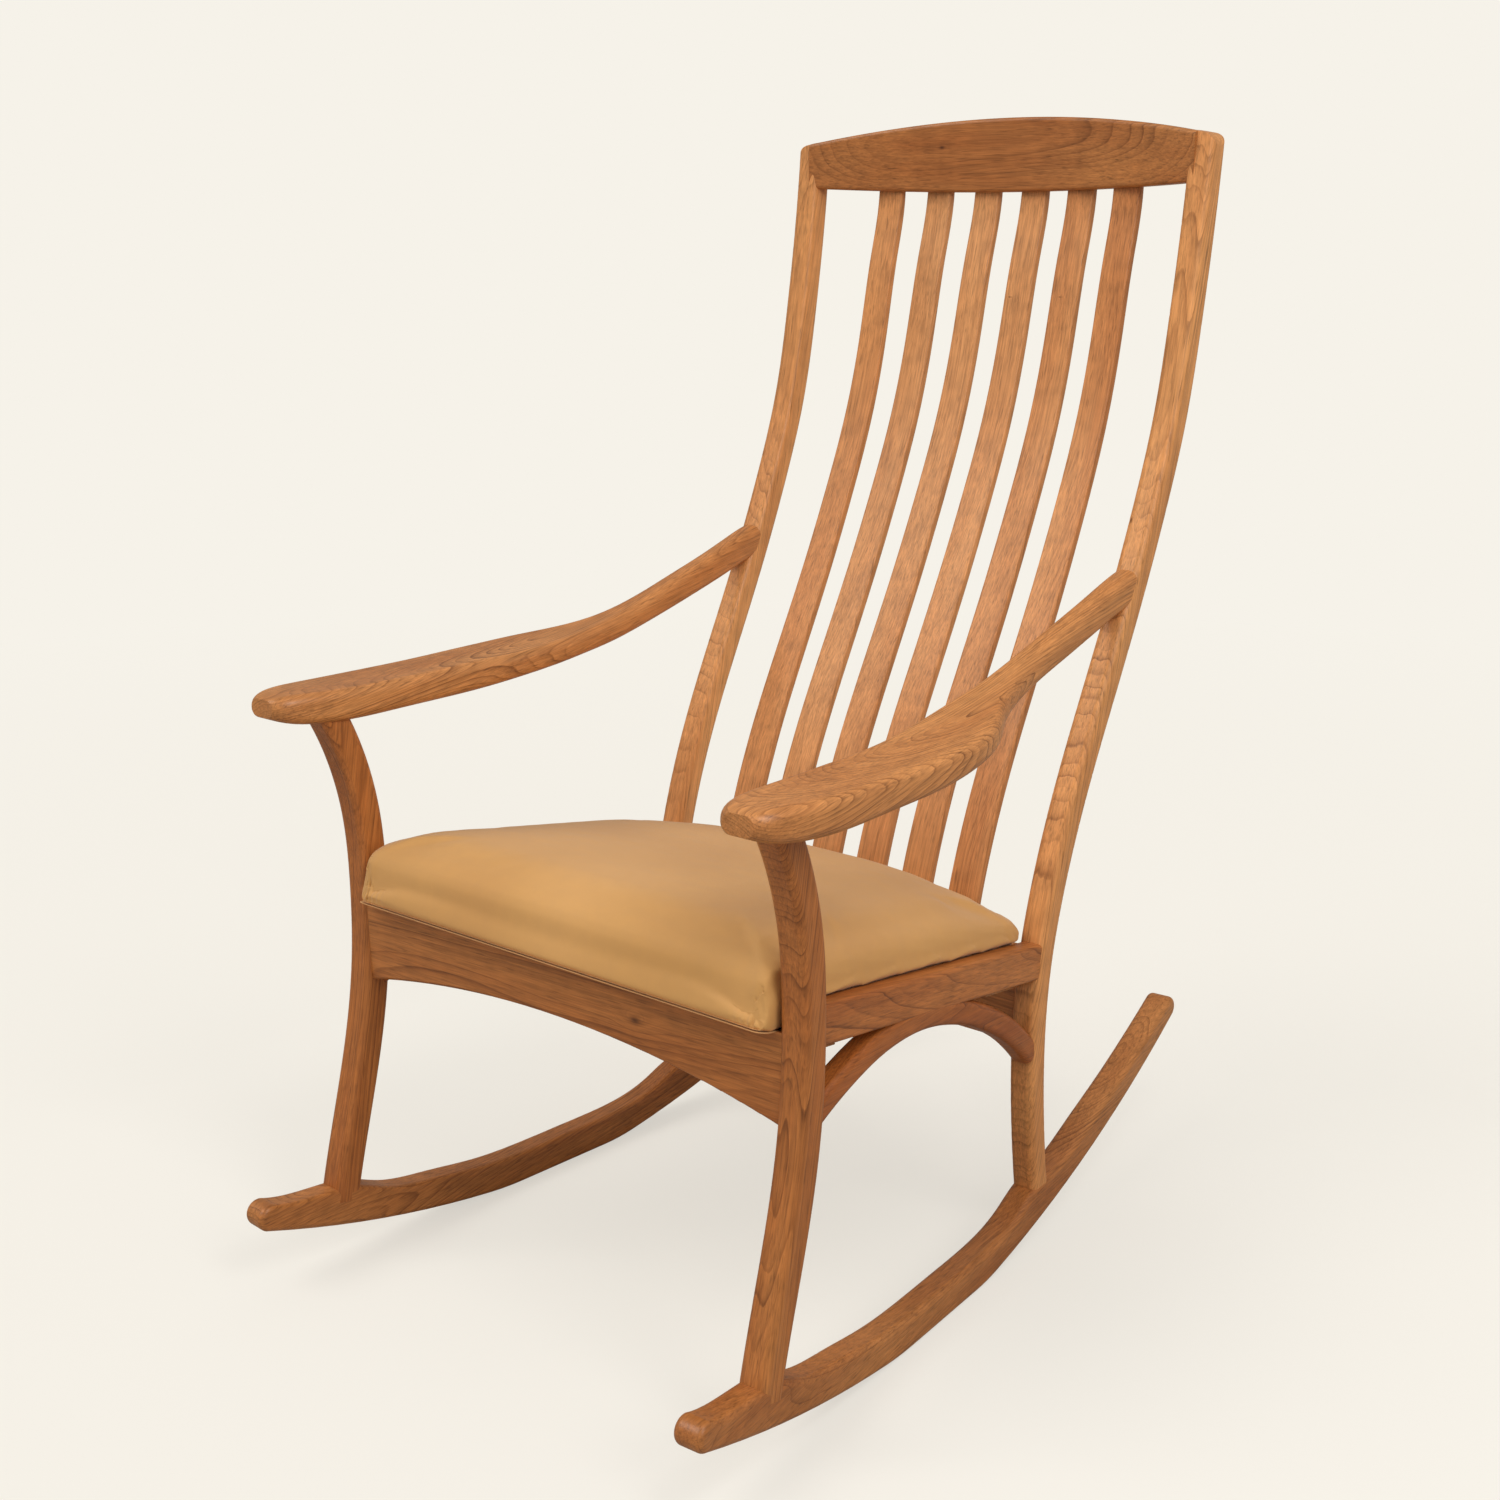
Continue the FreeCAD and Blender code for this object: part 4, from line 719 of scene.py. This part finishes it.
hem = joined("seat_cover_hem", "seat_cover")
heights = to_seat(corners_of(hem.data))[:, 2]
work = bmesh.new()
work.from_mesh(hem.data)
above = [v for v in work.verts if heights[v.index] > HEM_TOP_Z]
bmesh.ops.delete(work, geom=above, context="VERTS")
work.to_mesh(hem.data)
work.free()
print("hem:", len(hem.data.polygons), "faces")


# %% [markdown]
# ## Fabric
#
# The cover is a smooth, closely woven cloth. Its threads are too fine to see from a distance, but they blur
# the highlight, and soft clouds of tone keep the wide top from looking painted.

# %% The seat fabric
THREAD = 0.0009                     # from one thread to the next


def fabric(name):
    """Closely woven cloth: two sets of threads, soft clouds of tone, and a nap that catches light at the rim.

    The weave is the sine across the warp times the sine along it. Along the seat, y less z runs on evenly
    from the top down the front.
    """
    g = Graph(name)
    axes = g.node("ShaderNodeSeparateXYZ", {"Vector": g.place})
    warp = g.math("SINE", g.math("MULTIPLY", axes.outputs["X"], 2 * math.pi / THREAD))
    slope = g.math("SUBTRACT", axes.outputs["Y"], axes.outputs["Z"])
    weft = g.math("SINE", g.math("MULTIPLY", slope, 2 * math.pi / THREAD))
    weave = g.math("MULTIPLY", warp, weft)
    cloud = g.noise(g.place, (5, 5, 5), 3.0, 1.0)
    mottle = g.noise(g.place, (60, 60, 60), 8.0, 4.0, 0.6)
    tone = g.ramp(cloud, [(0.3, paint(203, 150, 86)), (0.5, paint(210, 157, 91)), (0.7, paint(216, 163, 97))])
    tone = g.blend(1.0, tone, g.ramp(mottle, [(0.3, 0.955), (0.7, 1.0)]), "MULTIPLY")
    threads = g.ramp(g.spread(weave, -1.0, 1.0, 0.0, 1.0), [(0.0, 0.965), (1.0, 1.0)])
    tone = g.blend(1.0, tone, threads, "MULTIPLY")
    relief = g.math("MULTIPLY_ADD", weave, 0.35, g.math("MULTIPLY", mottle, 1.2))
    bump = g.node("ShaderNodeBump", {"Height": relief, "Strength": 0.25, "Distance": 0.0003})
    shader = g.node("ShaderNodeBsdfPrincipled", {
        "Base Color": tone, "Roughness": g.spread(mottle, 0.3, 0.7, 0.62, 0.74),
        "Normal": bump.outputs["Normal"], "Sheen Weight": 0.22, "Sheen Roughness": 0.45,
        "Specular IOR Level": 0.35})
    return g.finish(shader.outputs["BSDF"])


cloth_finish = fabric("seat_fabric_cloth")
for piece in (cushion, hem):
    piece.data.materials.clear()
    piece.data.materials.append(cloth_finish)
    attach(piece, "root")
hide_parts("seat_foam", "seat_cover")

# %% [markdown]
# ## Camera
#
# The camera stands to the chair's left front, at about chest height, and looks slightly down. The direction
# it looks in is a compass turn to the left of straight back, tipped down.

# %% The camera
CAMERA_PLACE = (1.19075, -1.46220, 1.00806)
AZIMUTH, DOWN = math.radians(39.726), math.radians(14.874)
SENSOR_MM, LENS_MM = 36.0, 46.8
VIEW_END = 200.0


def put_in_room(thing, place, turn):
    """Puts a camera or a lamp in the scene, with its place in metres and its turn as a quaternion."""
    thing.location = place
    thing.rotation_mode = "QUATERNION"
    thing.rotation_quaternion = turn
    bpy.context.scene.collection.objects.link(thing)


look = Vector((-math.sin(AZIMUTH) * math.cos(DOWN), math.cos(AZIMUTH) * math.cos(DOWN), -math.sin(DOWN)))
camera = bpy.data.objects.new("camera", bpy.data.cameras.new("camera"))
put_in_room(camera, CAMERA_PLACE, look.to_track_quat("-Z", "Y"))
camera.data.sensor_width = SENSOR_MM
camera.data.lens = LENS_MM
camera.data.clip_end = VIEW_END
bpy.context.scene.camera = camera

# %% [markdown]
# ## Floor
#
# The floor and the far background share one pale colour. The camera sees the floor partly as a plain glow,
# so that the chair's shadow stays faint, and further off it fades into the background altogether. To the
# chair itself the floor is darker, so that its undersides stay deep and its polish isn't veiled by a white
# floor.

# %% The floor
BACKGROUND = paint(246, 242, 233)
PLAIN_FLOOR = paint(176, 168, 156)
FLOOR_REACH = 40.0
FADE_START, FADE_END = 0.9, 3.5     # metres from the chair's middle
NEAR_GLOW = 0.64


def floor_finish(name):
    """To the camera a pale floor that glows more with distance. To every other ray a darker, plain one."""
    g = Graph(name)
    pale = g.node("ShaderNodeBsdfDiffuse", {"Color": BACKGROUND})
    plain = g.node("ShaderNodeBsdfDiffuse", {"Color": PLAIN_FLOOR})
    glow = g.node("ShaderNodeEmission", {"Color": BACKGROUND, "Strength": 1.0})
    share = g.spread(g.vector("LENGTH", g.place), FADE_START, FADE_END, NEAR_GLOW, 1.0)
    bright = g.node("ShaderNodeMixShader", {0: share, 1: pale.outputs[0], 2: glow.outputs[0]})
    seen = g.node("ShaderNodeLightPath").outputs["Is Camera Ray"]
    mixed = g.node("ShaderNodeMixShader", {0: seen, 1: plain.outputs[0], 2: bright.outputs[0]})
    return g.finish(mixed.outputs[0])


floor = bpy.data.objects.new("floor", bpy.data.meshes.new("floor"))
corners = [(x * FLOOR_REACH, y * FLOOR_REACH, 0) for x, y in ((-1, -1), (1, -1), (1, 1), (-1, 1))]
floor.data.from_pydata(corners, [], [(0, 1, 2, 3)])
floor.data.materials.append(floor_finish("pale_floor"))
bpy.context.scene.collection.objects.link(floor)

# %% [markdown]
# ## Light
#
# The light is an even sky, two very wide suns, one on either side of the camera, and a square lamp near the
# top of the back. The sky is dimmer in reflections, so the polish keeps the wood's own colour.

# %% The sky and the lamps
SKY_TINT = (1.0, 0.985, 0.96, 1.0)
SUN_TINT = (1.0, 0.98, 0.95)
SKY_STRENGTH = 0.52
REFLECTED_LOSS = 0.30

world = bpy.data.worlds.new("studio")
bpy.context.scene.world = world
world.use_nodes = True
tree = world.node_tree
tree.nodes.clear()
rays = tree.nodes.new("ShaderNodeLightPath")
backdrop = tree.nodes.new("ShaderNodeBackground")
backdrop.inputs["Color"].default_value = BACKGROUND
sky = tree.nodes.new("ShaderNodeBackground")
sky.inputs["Color"].default_value = SKY_TINT
dimmer = tree.nodes.new("ShaderNodeMath")
dimmer.operation = "MULTIPLY_ADD"
dimmer.inputs[1].default_value = -REFLECTED_LOSS
dimmer.inputs[2].default_value = SKY_STRENGTH
tree.links.new(rays.outputs["Is Glossy Ray"], dimmer.inputs[0])
tree.links.new(dimmer.outputs[0], sky.inputs["Strength"])
choice = tree.nodes.new("ShaderNodeMixShader")
tree.links.new(rays.outputs["Is Camera Ray"], choice.inputs[0])
tree.links.new(sky.outputs[0], choice.inputs[1])
tree.links.new(backdrop.outputs[0], choice.inputs[2])
tree.links.new(choice.outputs[0], tree.nodes.new("ShaderNodeOutputWorld").inputs["Surface"])


def sun(name, toward, strength, width):
    """A lamp infinitely far away in a direction, as wide in the sky as the angle says, in degrees."""
    lamp = bpy.data.lights.new(name, "SUN")
    lamp.energy = strength
    lamp.angle = math.radians(width)
    lamp.color = SUN_TINT
    put_in_room(bpy.data.objects.new(name, lamp), (0, 0, 0), Vector(toward).to_track_quat("Z", "Y"))


def softbox(name, place, target, power, width):
    """A square lamp in the room that faces a point. What is near it gets more light."""
    lamp = bpy.data.lights.new(name, "AREA")
    lamp.energy = power
    lamp.size = width
    thing = bpy.data.objects.new(name, lamp)
    thing.visible_camera = False
    put_in_room(thing, place, (Vector(place) - Vector(target)).to_track_quat("Z", "Y"))


sun("key", toward=(-0.50, -0.70, 1.05), strength=1.15, width=34)
sun("side", toward=(1.0, -0.20, 0.80), strength=0.60, width=24)
softbox("softbox", place=(1.05, -0.50, 1.75), target=(0.05, 0.15, 0.80), power=7.0, width=0.6)
bpy.context.scene.view_settings.view_transform = "Standard"
